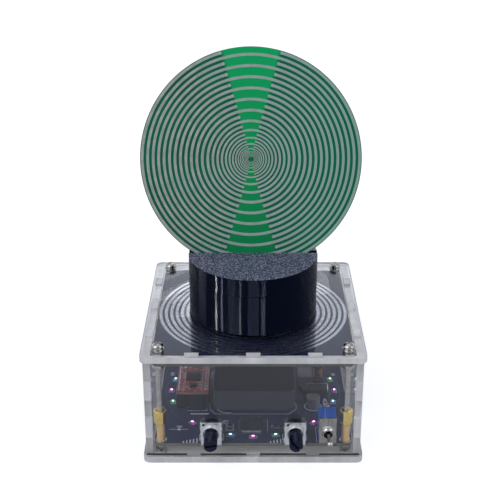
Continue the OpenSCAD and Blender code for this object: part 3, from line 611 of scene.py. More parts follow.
LAMP_ANGLES = {"pink": range(0, 360, 45), "cyan": range(-15, 345, 90), "green": range(15, 375, 90)}
ALL_LAMPS = [angle for angles in LAMP_ANGLES.values() for angle in angles]
RESISTORS = [(10.2, -31.04), (12.8, -31.04), (-10.6, -30.04), (-10.6, -33.04), (-16, 25.84), (-12.5, 25.84),
             (12.5, 25.84), (16, 25.84), (-3, 29.84), (3, 29.84)]
CERAMICS = [(-13.2, -27.64), (-8, 23.84), (8, 23.84), (0, 23.84), (-20, 23.84), (20, 23.84)]
CHIP = Vector((-0.65, -30.04))
LEAD_RUN = [(i - 5) * 0.8 for i in range(11)]
MODULE = Vector((-28.24, -3.0))
PIN_ROWS = [(MODULE.x + side * 6.25, MODULE.y + (i - 4.5) * 2.54) for side in (-1, 1) for i in range(10)]
CAN_PLACE = (28.24, -13.9)
LYING_PLACE = (30.44, -2.1)
CHOKE = (31.74, 10.0)


def level_marks(x, y):
    """Rising bars that stand beside a control in place of a word."""
    return joined(*[stroke((x + i * 1.5, y), (x + i * 1.5, y + 2.0 + 0.55 * i), 0.62) for i in range(-2, 3)])


def print_marks():
    front = [(-20.4, -11.0), (-20.4, -16.2), (-17.6, -20.5), (16.7, -20.5), (20.3, -16.2), (20.3, -11.0)]
    back = [(x, -y) for x, y in front]
    marks = [outline(front, 0.2, False), outline(back, 0.2, False), level_marks(-28.1, -43.7),
             level_marks(10.8, -43.7)]
    marks.append(copies(outline(frame_points(0, 0, 3.3, 2.3), 0.2), [ring_place(a) for a in ALL_LAMPS]))
    marks += [stroke((-38.2, -33.2), (-29.8, -33.2), 0.26), stroke((-34.6, -31.4), (-32.6, -31.4), 0.4),
              stroke((-34.6, -30.6), (-32.6, -30.6), 0.4),
              prism_shape([(-34.4, -33.9), (-32.8, -33.9), (-33.6, -31.7)], BOARD_TOP, BOARD_TOP + PRINT_T)]
    marks += [stroke((28.4, -31.6), (28.4, -43.4)), stroke((28.4, -31.6), (37.4, -31.6)),
              stroke((37.4, -31.6), (37.4, -43.4))]
    for x in KNOB_X.values():
        marks += [stroke((x - 5.4, -37.2), (x + 5.4, -37.2)), stroke((x - 5.4, -37.2), (x - 5.4, -42)),
                  stroke((x + 5.4, -37.2), (x + 5.4, -42))]
    marks += [outline(frame_points(x, y, 3.4, 2.0), 0.16) for x, y in RESISTORS + CERAMICS]
    marks += [stroke((-30.6, -17.8), (-24.9, -17.8)), stroke((-24.2, -17.8), (-21.6, -17.8)),
              stroke((-21.6, -17.8), (-21.6, -16.2))]
    marks += [placed(ring_shape(3.75, 4.1, 0, PRINT_T, 40), at(*CAN_PLACE, BOARD_TOP))]
    turns = [math.radians(a) for a in range(205, 290, 12)]
    arc = [(-11.8 + 5.3 * math.cos(a), -14.4 + 5.3 * math.sin(a)) for a in turns]
    marks.append(outline(arc, 0.4, False))
    marks += [stroke((x, -20.4), (x + 0.55, -20.4), 0.95)
              for x in (-28.6, -27.4, -26.2, -25.2, -23.8, -22.6, -21.6)]
    marks += [stroke((-13.6, -26.1), (-11.6, -26.1), 0.35), stroke((6.6, -24.6), (6.6, -35.0), 0.14)]
    marks += [stroke((-40.5, y), (-39.3, y), 0.5) for y in (14.5, 15.6, 16.7)]
    marks += [stroke((39.3, y), (40.5, y), 0.5) for y in (14.5, 15.6)]
    return joined(*marks)


def pads():
    flat = [standing_box(x + side * 1.0, y, (0.9, 1.35, 0.05)) for x, y in RESISTORS + CERAMICS
            for side in (-1, 1)]
    lamp_pad = joined(*[standing_box(side * 1.15, 0, (0.7, 1.35, 0.05)) for side in (-1, 1)])
    lead_pad = standing_box(5.75, 0, (1.3, 0.46, 0.04))
    leads = [at(*CHIP) @ rotation(90 * quarter, "Z") @ at(0, run) for quarter in range(4) for run in LEAD_RUN]
    hole = ring_shape(0.45, 0.95, BOARD_TOP, BOARD_TOP + 0.05, 20)
    holes = [at(x, -22.9) for x in (-3.95, -0.34, 3.13)]
    holes += [at(x, 21.8) for x in (-14, -11.5, 10.5, 13)] + [at(-32.6, -12.2), at(-31.2, -14.5)]
    corner = ring_shape(1.45, 2.75, BOARD_TOP, BOARD_TOP + 0.04, 32)
    return joined(*flat, copies(lamp_pad, [ring_place(a) for a in ALL_LAMPS]), copies(lead_pad, leads),
                  copies(hole, holes), at_corners(corner))


def traces():
    """Copper under the mask, just raised."""
    lines = []
    for i, run in enumerate(LEAD_RUN[::2]):
        y, lean = CHIP.y + run, 2.0 if i > 2 else -2.0
        left, right = CHIP.x - 7.6 - 0.5 * (i % 3), CHIP.x + 7.6 + 0.5 * (i % 3)
        lines += [[(CHIP.x - 6.4, y), (left, y), (left - 2.0, y + lean)],
                  [(CHIP.x + 6.4, y), (right, y), (right + 2.0, y + lean)]]
    for i in range(5):
        lines.append([(-30.5 + i * 1.4, -20.8), (-30.5 + i * 1.4, -24.5 - i * 0.9),
                      (-25 + i * 1.6, -30 - i * 0.9)])
        lines.append([(24.5 + i * 1.5, -18.5), (24.5 + i * 1.5, -22 - i), (20 + i * 1.4, -27 - i)])
        lines.append([(-15 + i * 2.2, -37.6), (-13.4 + i * 2.2, -36)])
    runs = [stroke(a, b, 0.42, thick=TRACE_T) for line in lines for a, b in zip(line, line[1:])]
    hoops = [ring_shape(r, r + 0.5, BOARD_TOP, BOARD_TOP + TRACE_T, 120) for r in (36.6, 41.6)]
    return joined(*runs, *hoops)


piece("board_print", print_marks(), PRINT_WHITE)
piece("board_pads", pads(), SOLDER)
piece("board_traces", traces(), BOARD_TRACE)
dress("coil_track", TINNED)


# Corner posts

def top_screw():
    low = node_box("top_screws")[0].z
    seat = LID_TOP + 1.3
    heads = half_space(node_shape("top_screws"), (0, 0, seat), (0, 0, -1))
    round_edges(heads, 0.07, 2, 45)
    shank = at_corners(turned_shape(thread_profile(1.25, 1.08, low, seat + 0.4, 0.45), 20))
    return joined(heads, shank)


def coupler(low, high):
    shape = bmesh.new()
    bmesh.ops.create_cone(shape, cap_ends=True, segments=6, radius1=HEX_R, radius2=HEX_R, depth=high - low,
                          matrix=at(0, 0, (low + high) / 2) @ rotation(30, "Z"))
    ends = [e for e in shape.edges if abs(e.verts[0].co.z - e.verts[1].co.z) < 0.1]
    bevel_edges(shape, ends, 0.42)
    return round_edges(shape, 0.08, 1, 40)


piece("pan_head_screws", top_screw(), SCREW_STEEL, stands_for=["top_screws"])
eased("split_washers", "spring_washers", 0.1, SCREW_STEEL)
eased("plain_washers", "flat_washers", 0.08, SCREW_STEEL)
hex_low, hex_high = node_box("hex_couplers")
piece("hex_posts", at_corners(coupler(hex_low.z, hex_high.z)), BRASS, stands_for=["hex_couplers"])
eased("brass_sleeves", "post_sleeves", 0.12, TAN_BRASS)
nut_low, nut_high = node_box("coil_nuts")
piece("board_nuts", at_corners(coupler(nut_low.z, nut_high.z)), SCREW_STEEL,
      stands_for=["coil_nuts"])
eased("lid_spacers", "coil_spacers", 0.1, SCREW_STEEL)
eased("board_feet", "board_spacers", 0.1, SCREW_STEEL)
dress("base_screws", BRASS)


# Printed stand and its ring antenna

def faceted_drum(low, high):
    """Upright drum whose corners between the flat sides are planed to narrow flats."""
    sides, narrow = 64, math.radians(0.9)
    angles = [i * math.tau / sides + turn for i in range(sides) for turn in (-narrow, narrow)]
    return prism_shape([(STAND_R * math.sin(a), -STAND_R * math.cos(a)) for a in angles], low, high)


def stand_shape():
    """Drum of many flat sides; above the slot's floor they are turned a little, as the seam shows."""
    turn = rotation(0.5, "Z")
    drum = round_edges(faceted_drum(LID_TOP, SLOT_FLOOR), 0.12, 1, 60)
    mouth = Vector((0, 0.6, STAND_TOP))
    jaws = []
    for side, reach in ((1, 0.4), (-1, 2.0)):
        jaw = placed(faceted_drum(SLOT_FLOOR, STAND_TOP), turn)
        half_space(jaw, mouth + side * reach * DISC_FACING, -side * DISC_FACING)
        jaws.append(round_edges(jaw, 0.1, 1, 60))
    nub = bmesh.new()
    bmesh.ops.create_icosphere(nub, subdivisions=2, radius=0.32,
                               matrix=at(-STAND_R * math.sin(1.02), -STAND_R * math.cos(1.02), 77.6))
    whole = joined(drum, *jaws, nub)
    return painted(whole, 1, lambda face: face.normal.z > 0.9
                   and face.calc_center_median().z > STAND_TOP - 0.05)


stand = piece("printed_stand", stand_shape(), [stand_side_finish(), stand_top_finish()],
              stands_for=["stand_drum", "stand_jaws"])
for side in stand.data.polygons:
    side.use_smooth = False


def disc_rim(face):
    return abs(face.normal.dot(DISC_FACING)) < 0.9


piece("green_disc", painted(node_shape("antenna_disc", 0.12, 1), 1, disc_rim), [disc_mask_finish(), BOARD_EDGE],
      body="antenna", stands_for=["antenna_disc"])
RING_TIN = ring_finish()
for rings in ("front_rings", "rear_rings"):
    dress(rings, RING_TIN)


# Controls

def knurled_shaft(length):
    """Ribbed end of a control's shaft, drawn along Z with its round tip at the top."""
    shape = bmesh.new()
    bmesh.ops.create_cone(shape, cap_ends=True, segments=72, radius1=3.0, radius2=3.0, depth=length,
                          matrix=at(0, 0, length / 2))
    ribs = [v for v in shape.verts if round(math.degrees(math.atan2(v.co.y, v.co.x)) / 5) % 2 == 0]
    bmesh.ops.scale(shape, vec=(0.95, 0.95, 1), verts=ribs)
    tip = [e for e in shape.edges if all(v.co.z > length - 0.01 for v in e.verts)]
    return bevel_edges(shape, tip, 1.1, 4)


def split_shaft(turn):
    """Shaft along Z from its journal to the two halves of its split end, the split turned from level."""
    length, split = 8.7, 6.0
    side_way = Vector((-math.sin(turn), math.cos(turn), 0))
    root = half_space(knurled_shaft(length), (0, 0, length - split), (0, 0, 1))
    halves = []
    for side in (-1, 1):
        half = half_space(knurled_shaft(length), (0, 0, length - split), (0, 0, -1))
        halves.append(half_space(half, side * 0.5 * side_way, -side * side_way))
    return joined(root, *halves, drum_shape(2.5, -8.15, 0, 48))


for name, x in KNOB_X.items():
    piece(name + "_split_shaft", placed(split_shaft(SPLITS[name]), to_front(x, -47.75, KNOB_Z)), KNOB_BLACK,
          body=name + "_knob", stands_for=[name + "_shaft"])
    low, high = node_box(name + "_pot_plate")
    plate = node_shape(name + "_pot_plate", 0.16)
    rivet = placed(turned_shape([(0, -0.02), (0.62, -0.02), (0.62, 0.02), (0, 0.02)], 20),
                   to_front(x - 3.3, low.y, high.z - 1.15))
    rib = box_shape((x - 1.4, low.y - 0.22, high.z - 1.7), (x + 2.6, low.y + 0.1, high.z - 0.8), 0.2, 3)
    piece(name + "_face_plate", joined(plate, rib, painted(rivet, 1)), [PLATED, BLACK],
          stands_for=[name + "_pot_plate"])
    low, high = node_box(name + "_pot_body")
    tabs = [box_shape((x + s * POT_HALF_W - 0.3, low.y - 0.4, z),
                      (x + s * POT_HALF_W + 0.3, high.y - 0.6, z + 1.6), 0.1) for s in (-1, 1)
            for z in (9.2, 14.6)]
    moulding = node_shape(name + "_pot_body")
    corners = {v for v in moulding.verts if v.co.z > high.z - 0.01 and abs(abs(v.co.x - x) - POT_HALF_W) < 0.01}
    shoulders = [e for e in moulding.edges if corners.issuperset(e.verts)]
    bevel_edges(moulding, shoulders, 1.7, 1, clamp=False)
    body = joined(round_edges(moulding, 0.2, 2, 40), *[painted(t, 1) for t in tabs])
    legs = [painted(standing_box(x + i * 2.5, high.y + 0.9, (0.9, 1.8, 0.5), BOARD_TOP, 0.1), 1)
            for i in (-1, 0, 1)]
    piece(name + "_control_body", joined(body, *legs), [BLACK, PLATED],
          stands_for=[name + "_pot_body"])


# Toggle switch

low, high = node_box("switch_body")
clips = [box_shape((SWITCH.x + x - 0.32, low.y, high.z - 0.3), (SWITCH.x + x + 0.32, high.y, high.z + 0.12),
                   0.1) for x in (-1.65, 0.25)]
strap = box_shape((low.x - 0.12, low.y, SWITCH.z - 1.2), (high.x + 0.12, low.y + 5.5, SWITCH.z + 1.2), 0.1)
piece("switch_moulding", joined(node_shape("switch_body", 0.35), *clips, painted(strap, 1)),
      [SWITCH_BLUE, PLATED], stands_for=["switch_body"])
eased("switch_face_plate", "switch_plate", 0.18, DULL_STEEL)
bush_low, bush_high = node_box("switch_bushing")


def bushing_shape(length):
    """Threaded tube with a rounded lip, drawn along Z."""
    step = 0.32
    outer = [(2.5 if i % 2 else 2.2, 0.2 + i * step) for i in range(int((length - 0.6) / step))]
    section = [(2.0, 0.0), (2.4, 0.0)] + outer + [(2.42, length - 0.2), (2.3, length), (2.0, length)]
    return turned_shape(section, 40, True)


bush = placed(bushing_shape(bush_high.y - bush_low.y), to_front(SWITCH.x, bush_high.y, SWITCH.z))
piece("switch_threaded_bush", bush, SCREW_STEEL, stands_for=["switch_bushing"])


def lever_shape():
    """Ball, slim neck and rounded bat end, drawn along Z from the pivot."""
    ball = [(1.75 * math.cos(math.radians(a)), 1.75 * math.sin(math.radians(a))) for a in range(-90, 58, 12)]
    ball[0] = (0.0, -1.75)
    bat = [(0.93, 1.75), (0.85, 3.2), (0.87, 6.0), (0.95, 9.6), (1.1, 11.4)]
    tip = [(1.35 * math.cos(math.radians(a)), 12.9 + 1.35 * math.sin(math.radians(a)))
           for a in range(-20, 90, 12)]
    return turned_shape(ball + bat + tip + [(0.0, 14.25)], 28)


rest = at(*SWITCH) @ Matrix.Rotation(math.radians(90) - LEVER_ANGLE, 4, "X")
piece("switch_bat", placed(lever_shape(), rest), SCREW_STEEL, body="toggle",
      stands_for=["switch_lever"])
lugs = round_edges(node_shape("switch_terminals"), 0.15, 2, 40)
loops = [placed(ring_shape(0.9, 1.5, -0.35, 0.35, 24), at(SWITCH.x, -30.4, SWITCH.z + i * 4.7))
         for i in (-1, 0, 1)]
eye = ring_shape(0.5, 0.95, -0.2, 0.2, 24)
upright = rotation(90, "X") @ rotation(8, "Z") @ Matrix.Diagonal((1, 2.5, 1, 1))
corner = node_box("switch_body")[1]
placed(eye, at(SWITCH.x - 0.8, corner.y + 0.35, corner.z + 1.6) @ upright)
piece("switch_lugs", joined(lugs, *loops, painted(eye, 1)), [PLATED, LUG_TIN],
      stands_for=["switch_terminals"])


# Plug-in module

piece("red_module_board", painted(node_shape("module_board", 0.1, 1), 1, board_rim), [MODULE_RED, PALE_EDGE],
      stands_for=["module_board"])
MODULE_TOP = node_box("module_board")[1].z


def on_module(x, y, size, bevel):
    """Small box on the module, placed from the module's middle."""
    return standing_box(MODULE.x + x, MODULE.y + y, size, MODULE_TOP, bevel)


def module_parts():
    """Small parts round the module's chip."""
    tan = [(-4.2, -10.6), (-1.4, -10.6), (2.2, -10.4), (4.0, -7.4), (-4.2, -6.6), (3.9, 5.4), (-4.0, 6.6),
           (0.6, 7.4), (3.2, 9.6), (-2.4, 10.2)]
    bodies = [on_module(x, y, (1.0, 0.55, 0.5), 0.06) for x, y in tan]
    ends = [painted(on_module(x + s * 0.62, y, (0.28, 0.6, 0.54), 0.05), 1) for x, y in tan for s in (-1, 1)]
    big = [painted(on_module(0.3, -8.2, (3.2, 2.2, 1.1), 0.15), 2),
           painted(on_module(0.8, 11.6, (4.2, 2.4, 1.3), 0.2), 1)]
    pale = [(-4.3, -2.0, 0.5, 1.7), (-0.3, -6.6, 1.0, 0.7), (-0.4, -9.9, 0.9, 1.0), (-4.3, 8.2, 1.3, 1.1),
            (-2.6, -7.2, 0.8, 0.5), (2.9, 2.4, 0.6, 0.5), (-3.6, -11.9, 0.5, 0.6), (1.2, -11.6, 0.6, 0.4),
            (3.4, -9.2, 0.5, 0.7), (-3.4, -5.4, 0.6, 0.4), (3.3, -4.9, 0.5, 0.5), (-3.7, 1.2, 0.4, 0.7),
            (3.5, 0.2, 0.4, 0.6), (-2.8, 5.0, 0.7, 0.4), (1.8, 5.6, 0.6, 0.5), (-1.2, 8.8, 0.5, 0.5),
            (2.2, 8.4, 0.7, 0.5)]
    bright = [painted(on_module(x, y, (w, d, 0.45), 0.08), 1) for x, y, w, d in pale]
    return joined(*bodies, *ends, *big, *bright)


def module_print():
    def strip(start, end, width):
        return stroke(MODULE + Vector(start), MODULE + Vector(end), width, MODULE_TOP)

    rows = [strip((s * 4.25, -12.6), (s * 4.25, 12.6), 0.12) for s in (-1, 1)]
    starts = [(-3.4, -4.7), (1.6, -4.9), (-3.6, 4.6), (1.4, 4.7), (-2.2, 8.6), (0.8, -12.4), (-3.2, -8.7)]
    dashes = [strip((x, y), (x + 0.9, y), 0.3) for x, y in starts]
    box = [strip(a, b, 0.16) for a, b in (((-3.9, -3.9), (3.9, -3.9)), ((-3.9, 3.9), (3.9, 3.9)),
                                          ((-3.9, -3.9), (-3.9, 3.9)))]
    runs = [strip((2.4, y), (5.0, y), 0.16) for y in (-11.2, -9.8, -8.4, -6.6, -5.2, 1.4, 2.8, 4.2)]
    runs += [strip((-5.0, y), (-2.9, y), 0.16) for y in (-11.6, -9.0, 0.6, 2.0, 3.4)]
    return joined(*rows, *dashes, *box, *runs)


def chip_with_dot(low, high):
    """Moulded chip with a round dimple in one corner of its top."""
    dot = turned_shape([(0, 0), (0.5, 0), (0.55, 0.015), (0, 0.015)], 20)
    return joined(box_shape(low, high, 0.18), painted(placed(dot, at(low.x + 1.2, high.y - 1.2, high.z)), 1))


piece("module_processor", chip_with_dot(*node_box("module_chip")), [CHIP_BLACK, BLACK],
      stands_for=["module_chip"])
piece("module_small_parts", module_parts(), [CERAMIC, SOLDER, CHIP_BLACK])
piece("module_print", module_print(), PRINT_WHITE)
pin_end = node_box("module_pins")[1].z
pin = turned_shape([(0, MODULE_TOP), (0.8, MODULE_TOP), (0.8, MODULE_TOP + 0.06), (0.45, MODULE_TOP + 0.2),
                    (0.36, pin_end - 0.15), (0.2, pin_end), (0, pin_end)], 16)
piece("module_pin_heads", copies(pin, [at(x, y) for x, y in PIN_ROWS]), SOLDER,
      stands_for=["module_pins"])
low, high = node_box("module_sockets")
cells = copies(box_shape((-1.25, -1.27, low.z), (1.25, 1.27, high.z), 0.22, 1), [at(x, y) for x, y in PIN_ROWS])
piece("module_socket_strips", cells, BLACK, stands_for=["module_sockets"])


# Potted power block, capacitors, choke and chips

def power_shape():
    """Round-cornered shell with a rim round its potted top, whose dark finish is partly painted shade."""
    shape = node_shape("power_module")
    top = [f for f in shape.faces if f.normal.z > 0.9]
    bmesh.ops.inset_region(shape, faces=top, thickness=0.8)
    bmesh.ops.translate(shape, vec=(0, 0, -0.2), verts=[v for f in top for v in f.verts])
    painted(shape, 1, lambda face: abs(face.normal.z) < 0.9)
    return round_edges(shape, 0.15, 1, 40)


def can_profile(radius, height):
    """Sleeved can with a crimp near its foot and a sunk top."""
    wall = radius - 0.12
    return [(0, 0), (wall, 0), (radius, 0.15), (radius, 0.8), (radius - 0.3, 1.0), (radius - 0.3, 1.25),
            (radius, 1.5), (radius, height - 0.4), (wall, height - 0.12), (radius - 0.4, height),
            (radius - 0.55, height - 0.1), (0, height - 0.1)]


def can_shape():
    """Short can on its foot with a scored top."""
    radius, height = 3.15, 5.6
    can = painted(turned_shape(can_profile(radius, height), 48), 3)
    painted(can, 1, lambda f: f.calc_center_median().z > height - 0.3
            and f.calc_center_median().xy.length < radius - 0.1)
    score = [box_shape((-1.7, -0.1, height - 0.12), (1.7, 0.1, height - 0.06)),
             box_shape((-0.1, -1.7, height - 0.12), (0.1, 1.7, height - 0.06))]
    return placed(joined(can, *score), at(*CAN_PLACE, BOARD_TOP))


def lying_shape():
    """Can on its side along X with a bare end at the right and its two leads bent down at the left."""
    radius, length = 2.5, 11.0
    can = turned_shape(can_profile(radius, length), 48)
    painted(can, 2, lambda f: f.calc_center_median().z > length - 0.55)
    low_x, middle = LYING_PLACE[0] - length / 2, node_box("capacitors")[0].z + 0.1 + radius
    lead = joined(drum_shape(0.28, -1.0, 0.05, 12), placed(drum_shape(0.28, -0.1, 2.55, 12),
            at(0, 0, -1.0) @ rotation(90, "Y")))
    leads = painted(copies(lead, [at(0, -1.0, 0), at(0, 1.0, 0)]), 2)
    return placed(joined(can, leads), at(low_x, LYING_PLACE[1], middle) @ rotation(90, "Y"))


def winding_shape():
    """Round wire wound up the choke's middle, ends closed."""
    turns, steps = 4.5, 48
    shape = bmesh.new()
    low, high = node_box("choke_winding")
    reach = (high.x - low.x) / 2 - 0.35
    made = bmesh.ops.create_circle(shape, segments=12, radius=0.35,
                                   matrix=at(reach, 0, low.z + 0.35) @ rotation(90, "X"))
    start = made["verts"] + list({e for v in made["verts"] for e in v.link_edges})
    for half in range(int(turns * 2)):
        spun = bmesh.ops.spin(shape, geom=start, cent=(0, 0, 0), axis=(0, 0, 1), dvec=(0, 0, 0.6 / (steps / 2)),
                              angle=math.pi, steps=steps // 2, use_merge=False)
        start = spun["geom_last"]
    bmesh.ops.holes_fill(shape, edges=[e for e in shape.edges if e.is_boundary], sides=0)
    bmesh.ops.recalc_face_normals(shape, faces=shape.faces)
    return placed(shape, at(*CHOKE))


def lead_shape():
    """Bent lead, drawn from the chip's side outwards along X."""
    side = [(0, 0.78), (0.3, 0.78), (0.52, 0.2), (1.0, 0.2), (1.0, 0.03), (0.4, 0.03), (0.2, 0.6), (0, 0.6)]
    flat = prism_shape(side, -0.17, 0.17)
    return placed(flat, rotation(90, "X"))


piece("power_block", power_shape(), [POTTING_AND_PAINTED_SHADE, POTTING_SHELL], stands_for=["power_module"])
piece("board_capacitors", joined(can_shape(), lying_shape()), [SLEEVE, CAN_TOP, CAN, CAN_BODY],
      stands_for=["capacitors"])
eased("relay_case", "relay", 0.3, RELAY_GREY)
piece("choke_bobbin", round_edges(node_shape("choke_core"), 0.2, 2, 40), FERRITE,
      stands_for=["choke_core"])
piece("choke_copper", winding_shape(), COPPER, stands_for=["choke_winding"])
piece("driver_body", chip_with_dot(*node_box("driver_chip")), [CHIP_BLACK, BLACK],
      stands_for=["driver_chip"])
sides = [at(*CHIP, BOARD_TOP) @ rotation(90 * quarter, "Z") for quarter in range(4)]
piece("driver_bent_leads", copies(lead_shape(), [side @ at(5, run) for side in sides for run in LEAD_RUN]),
      SOLDER, stands_for=["driver_leads"])


def chip_part():
    body = standing_box(0, 0, (1.5, 1.2, 0.58), BOARD_TOP + 0.02, 0.06)
    ends = [painted(standing_box(s * 0.83, 0, (0.34, 1.25, 0.6), BOARD_TOP, 0.08), 1) for s in (-1, 1)]
    return joined(body, *ends)


piece("chip_resistors", copies(chip_part(), [at(x, y) for x, y in RESISTORS]), [CHIP_BLACK, SOLDER],
      stands_for=["resistors"])
piece("chip_ceramics", copies(chip_part(), [at(x, y) for x, y in CERAMICS]), [CERAMIC, SOLDER],
      stands_for=["ceramic_capacitors"])


# Lit lamps

def lamp_shape():
    """Case and lens that glow softly, with a bright core on top."""
    case = standing_box(0, 0, (2.0, 1.25, 0.35), BOARD_TOP, 0.06)
    lens = standing_box(0, 0, (1.5, 1.2, 0.4), BOARD_TOP + 0.33, 0.14)
    core = painted(standing_box(0, 0, (1.1, 0.85, 0.08), BOARD_TOP + 0.7, 0.03), 1)
    return joined(case, lens, core)


for colour, (glow, core) in LAMPS.items():
    lit = [lamp_finish("glow_" + colour, glow, 0.28), lamp_finish("core_" + colour, core, 3.2)]
    piece("lit_lamps_" + colour, copies(lamp_shape(), [ring_place(a) for a in LAMP_ANGLES[colour]]), lit,
          stands_for=["leds_" + colour])


# Power inlet and coil leads

piece("inlet_housing", round_edges(node_shape("power_jack"), 0.3, 2, 60), BLACK,
      stands_for=["power_jack"])
low, high = node_box("jack_pin")
reach = high.y - low.y
nose = turned_shape([(0, 0), (1.05, 0), (1.05, reach - 0.5), (0.75, reach - 0.08), (0.4, reach), (0, reach)],
                    24)
piece("inlet_pin", placed(nose, at((low.x + high.x) / 2, low.y, (low.z + high.z) / 2) @ rotation(-90, "X")),
      PLATED, stands_for=["jack_pin"])
low, high = node_box("coil_leads")
wire = turned_shape([(0, low.z), (1.05, low.z), (0.95, low.z + 0.25), (0.5, low.z + 0.9), (0.5, low.z + 1.1),
                     (0.65, low.z + 1.1), (0.65, high.z - 1.1), (0.5, high.z - 1.1), (0.5, high.z - 0.9),
                     (0.95, high.z - 0.25), (1.05, high.z), (0, high.z)], 20)
painted(wire, 1, lambda f: not low.z + 1.05 < f.calc_center_median().z < high.z - 1.05)
piece("coil_wires", copies(wire, [at(x, (low.y + high.y) / 2) for x in (-5, 5)]), [LEAD_RED, SOLDER],
      stands_for=["coil_leads"])


# Stage, light and camera

def ray_weight(tree, seen, through, mirrored):
    """Weight of a glow for what the camera looks at, sees through clear sheet or sees in a mirror."""
    path = node_of(tree, "LightPath").outputs
    rays = ((path["Is Camera Ray"], seen), (path["Is Transmission Ray"], through),
            (path["Is Glossy Ray"], mirrored))
    parts = [maths(tree, "MULTIPLY", ray, weight) for ray, weight in rays]
    return maths(tree, "MAXIMUM", maths(tree, "MAXIMUM", parts[0], parts[1]), parts[2])


def smooth(tree, value, low, high, start=0.0, end=1.0):
    return ranged(tree, value, low, high, start, end, interpolation_type="SMOOTHSTEP")


def room_glow(tree):
    """Room that mirrors see: soft boxes and a glow in front, a wall behind that darkens upwards, a ceiling."""
    way = node_of(tree, "TexCoord").outputs["Generated"]
    split = node_of(tree, "SeparateXYZ", [(0, way)]).outputs
    boxes = 0.28
    for towards, edge, rim, glow in (((-0.75, -0.45, 0.48), 0.80, 0.90, 1.5),
                                     ((0.80, -0.40, 0.45), 0.90, 0.96, 1.1),
                                     ((-0.12, -0.96, 0.25), 0.978, 0.997, 0.75)):
        near = vector_maths(tree, "DOT_PRODUCT", way, Vector(towards).normalized())["Value"]
        boxes = maths(tree, "ADD", boxes, smooth(tree, near, edge, rim, 0.0, glow))
    behind = smooth(tree, split["Y"], -0.25, 0.15)
    wall = smooth(tree, split["Z"], 0.42, 0.47, 1.22, 0.48)
    both = maths(tree, "ADD", maths(tree, "MULTIPLY", maths(tree, "SUBTRACT", 1.0, behind), boxes),
                 maths(tree, "MULTIPLY", behind, wall))
    return maths(tree, "ADD", both, smooth(tree, split["Z"], 0.80, 0.92, 0.0, 0.5))


def pale_world():
    """Soft even light; mirrors and clear sheet see the room, and what looks straight at it sees white."""
    world = bpy.data.worlds.new("pale_room")
    world.use_nodes = True
    tree = world.node_tree
    glow = room_glow(tree)
    special = ray_weight(tree, 1.0, 1.0, 1.0)
    plain = maths(tree, "MULTIPLY", maths(tree, "SUBTRACT", 1.0, special), 0.55)
    strength = maths(tree, "ADD", ray_weight(tree, 1.0, glow, glow), plain)
    tint = blended(tree, ray_weight(tree, 0.0, 1.0, 1.0), (0.91, 0.95, 1.09, 1), (0.90, 0.95, 1.04, 1))
    tree.links.new(tree.nodes["Background"].inputs["Color"], tint)
    tree.links.new(tree.nodes["Background"].inputs["Strength"], strength)
    bpy.context.scene.world = world


def floor_finish():
    """Pale floor that keeps the shadow and is white where nothing shades it."""
    made = bpy.data.materials.new("pale_floor")
    made.use_nodes = True
    tree = made.node_tree
    shader, out = tree.nodes["Principled BSDF"], tree.nodes["Material Output"]
    shader.inputs["Base Color"].default_value = (0.6, 0.6, 0.6, 1)
    shader.inputs["Roughness"].default_value = 0.9
    glow = node_of(tree, "Emission", [("Color", (1, 1, 1, 1)), ("Strength", ray_weight(tree, 0.62, 0.11, 0.0))])
    both = node_of(tree, "AddShader", [(0, shader.outputs[0]), (1, glow.outputs[0])])
    tree.links.new(out.inputs["Surface"], both.outputs[0])
    return made


def floor():
    shape = bmesh.new()
    bmesh.ops.create_grid(shape, x_segments=1, y_segments=1, size=6.0)
    mesh = bpy.data.meshes.new("floor")
    shape.to_mesh(mesh)
    shape.free()
    mesh.materials.append(floor_finish())
    made = bpy.data.objects.new("floor", mesh)
    made.location.z = -0.0001
    bpy.context.scene.collection.objects.link(made)
    made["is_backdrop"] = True


def lamp(name, place, size, power, target=(0, 0, 0.07)):
    light = bpy.data.lights.new(name, "AREA")
    light.shape = "RECTANGLE"
    light.size, light.size_y = size
    light.energy = power
    made = bpy.data.objects.new(name, light)
    made.location = place
    made.rotation_euler = (Vector(target) - Vector(place)).to_track_quat("-Z", "Y").to_euler()
    bpy.context.scene.collection.objects.link(made)
    return made


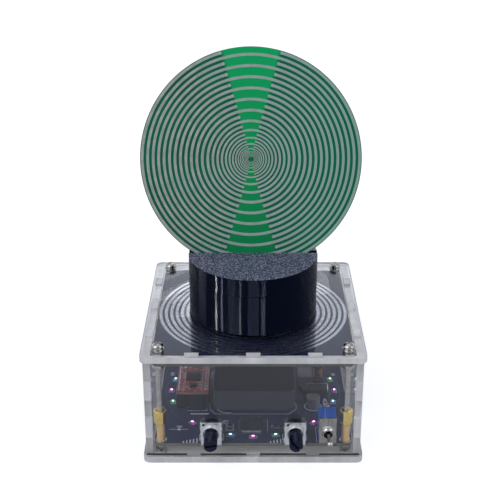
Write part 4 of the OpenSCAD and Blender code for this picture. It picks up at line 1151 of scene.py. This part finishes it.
def glint(name, facing, width, glow, colour):
    """Light strip that only the stand mirrors, on its flat that faces so many degrees right of the front."""
    turn, height, middle, distance = math.radians(facing), 0.04, 0.07, 0.16
    outward = Vector((math.sin(turn), -math.cos(turn), 0))
    spot = outward * STAND_R * MM + Vector((0, 0, middle))
    towards = (bpy.context.scene.camera.location - spot).normalized() * Vector((1, 1, 0))
    sideways = towards - outward * towards.dot(outward)
    place = spot + (outward * math.sqrt(1 - sideways.length_squared) - sideways) * distance
    made = lamp(name, place, (width, height), glow * math.pi * width * height, spot)
    made.data.color = colour
    made.visible_camera = made.visible_diffuse = made.visible_transmission = False
    made.light_linking.receiver_collection = STAND_ALONE


def camera():
    data = bpy.data.cameras.new("camera")
    focal_pixels, picture_pixels = 1043.822, 500.0
    data.sensor_width = 36.0
    data.lens = focal_pixels * data.sensor_width / picture_pixels
    data.clip_start = 0.01
    made = bpy.data.objects.new("camera", data)
    made.location = (-0.001267, -0.434731, 0.275531)
    made.rotation_euler = (math.radians(90 - 24.005), 0, math.radians(0.019))
    bpy.context.scene.collection.objects.link(made)
    bpy.context.scene.camera = made


GLINTS = [("line", -33.5, 0.0025, 1500.0, (0.92, 0.96, 1.0)), ("band", -27.9, 0.014, 210.0, (0.66, 0.72, 1.0)),
          ("middle_line", -11.0, 0.003, 380.0, (0.88, 0.92, 1.0)),
          ("right_band", 8.7, 0.006, 130.0, (0.72, 0.78, 1.0)),
          ("soft_side", -50.0, 0.05, 22.0, (0.62, 0.70, 1.0)),
          ("soft_left", -18.0, 0.05, 40.0, (0.62, 0.70, 1.0)),
          ("soft_front", 0.0, 0.05, 40.0, (0.62, 0.70, 1.0))]

STAND_ALONE = bpy.data.collections.new("stand_alone")
STAND_ALONE.objects.link(stand)
pale_world()
floor()
lamp("key", (-0.55, -0.6, 0.85), (0.5, 0.5), 2.5)
lamp("fill", (0.65, -0.45, 0.6), (0.5, 0.5), 1.35)
lamp("back", (0.1, 0.7, 0.8), (0.6, 0.4), 1.2)
camera()
for name, facing, width, glow, colour in GLINTS:
    glint(name, facing, width, glow, colour)
bpy.context.scene.view_settings.view_transform = "Standard"

low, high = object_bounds()
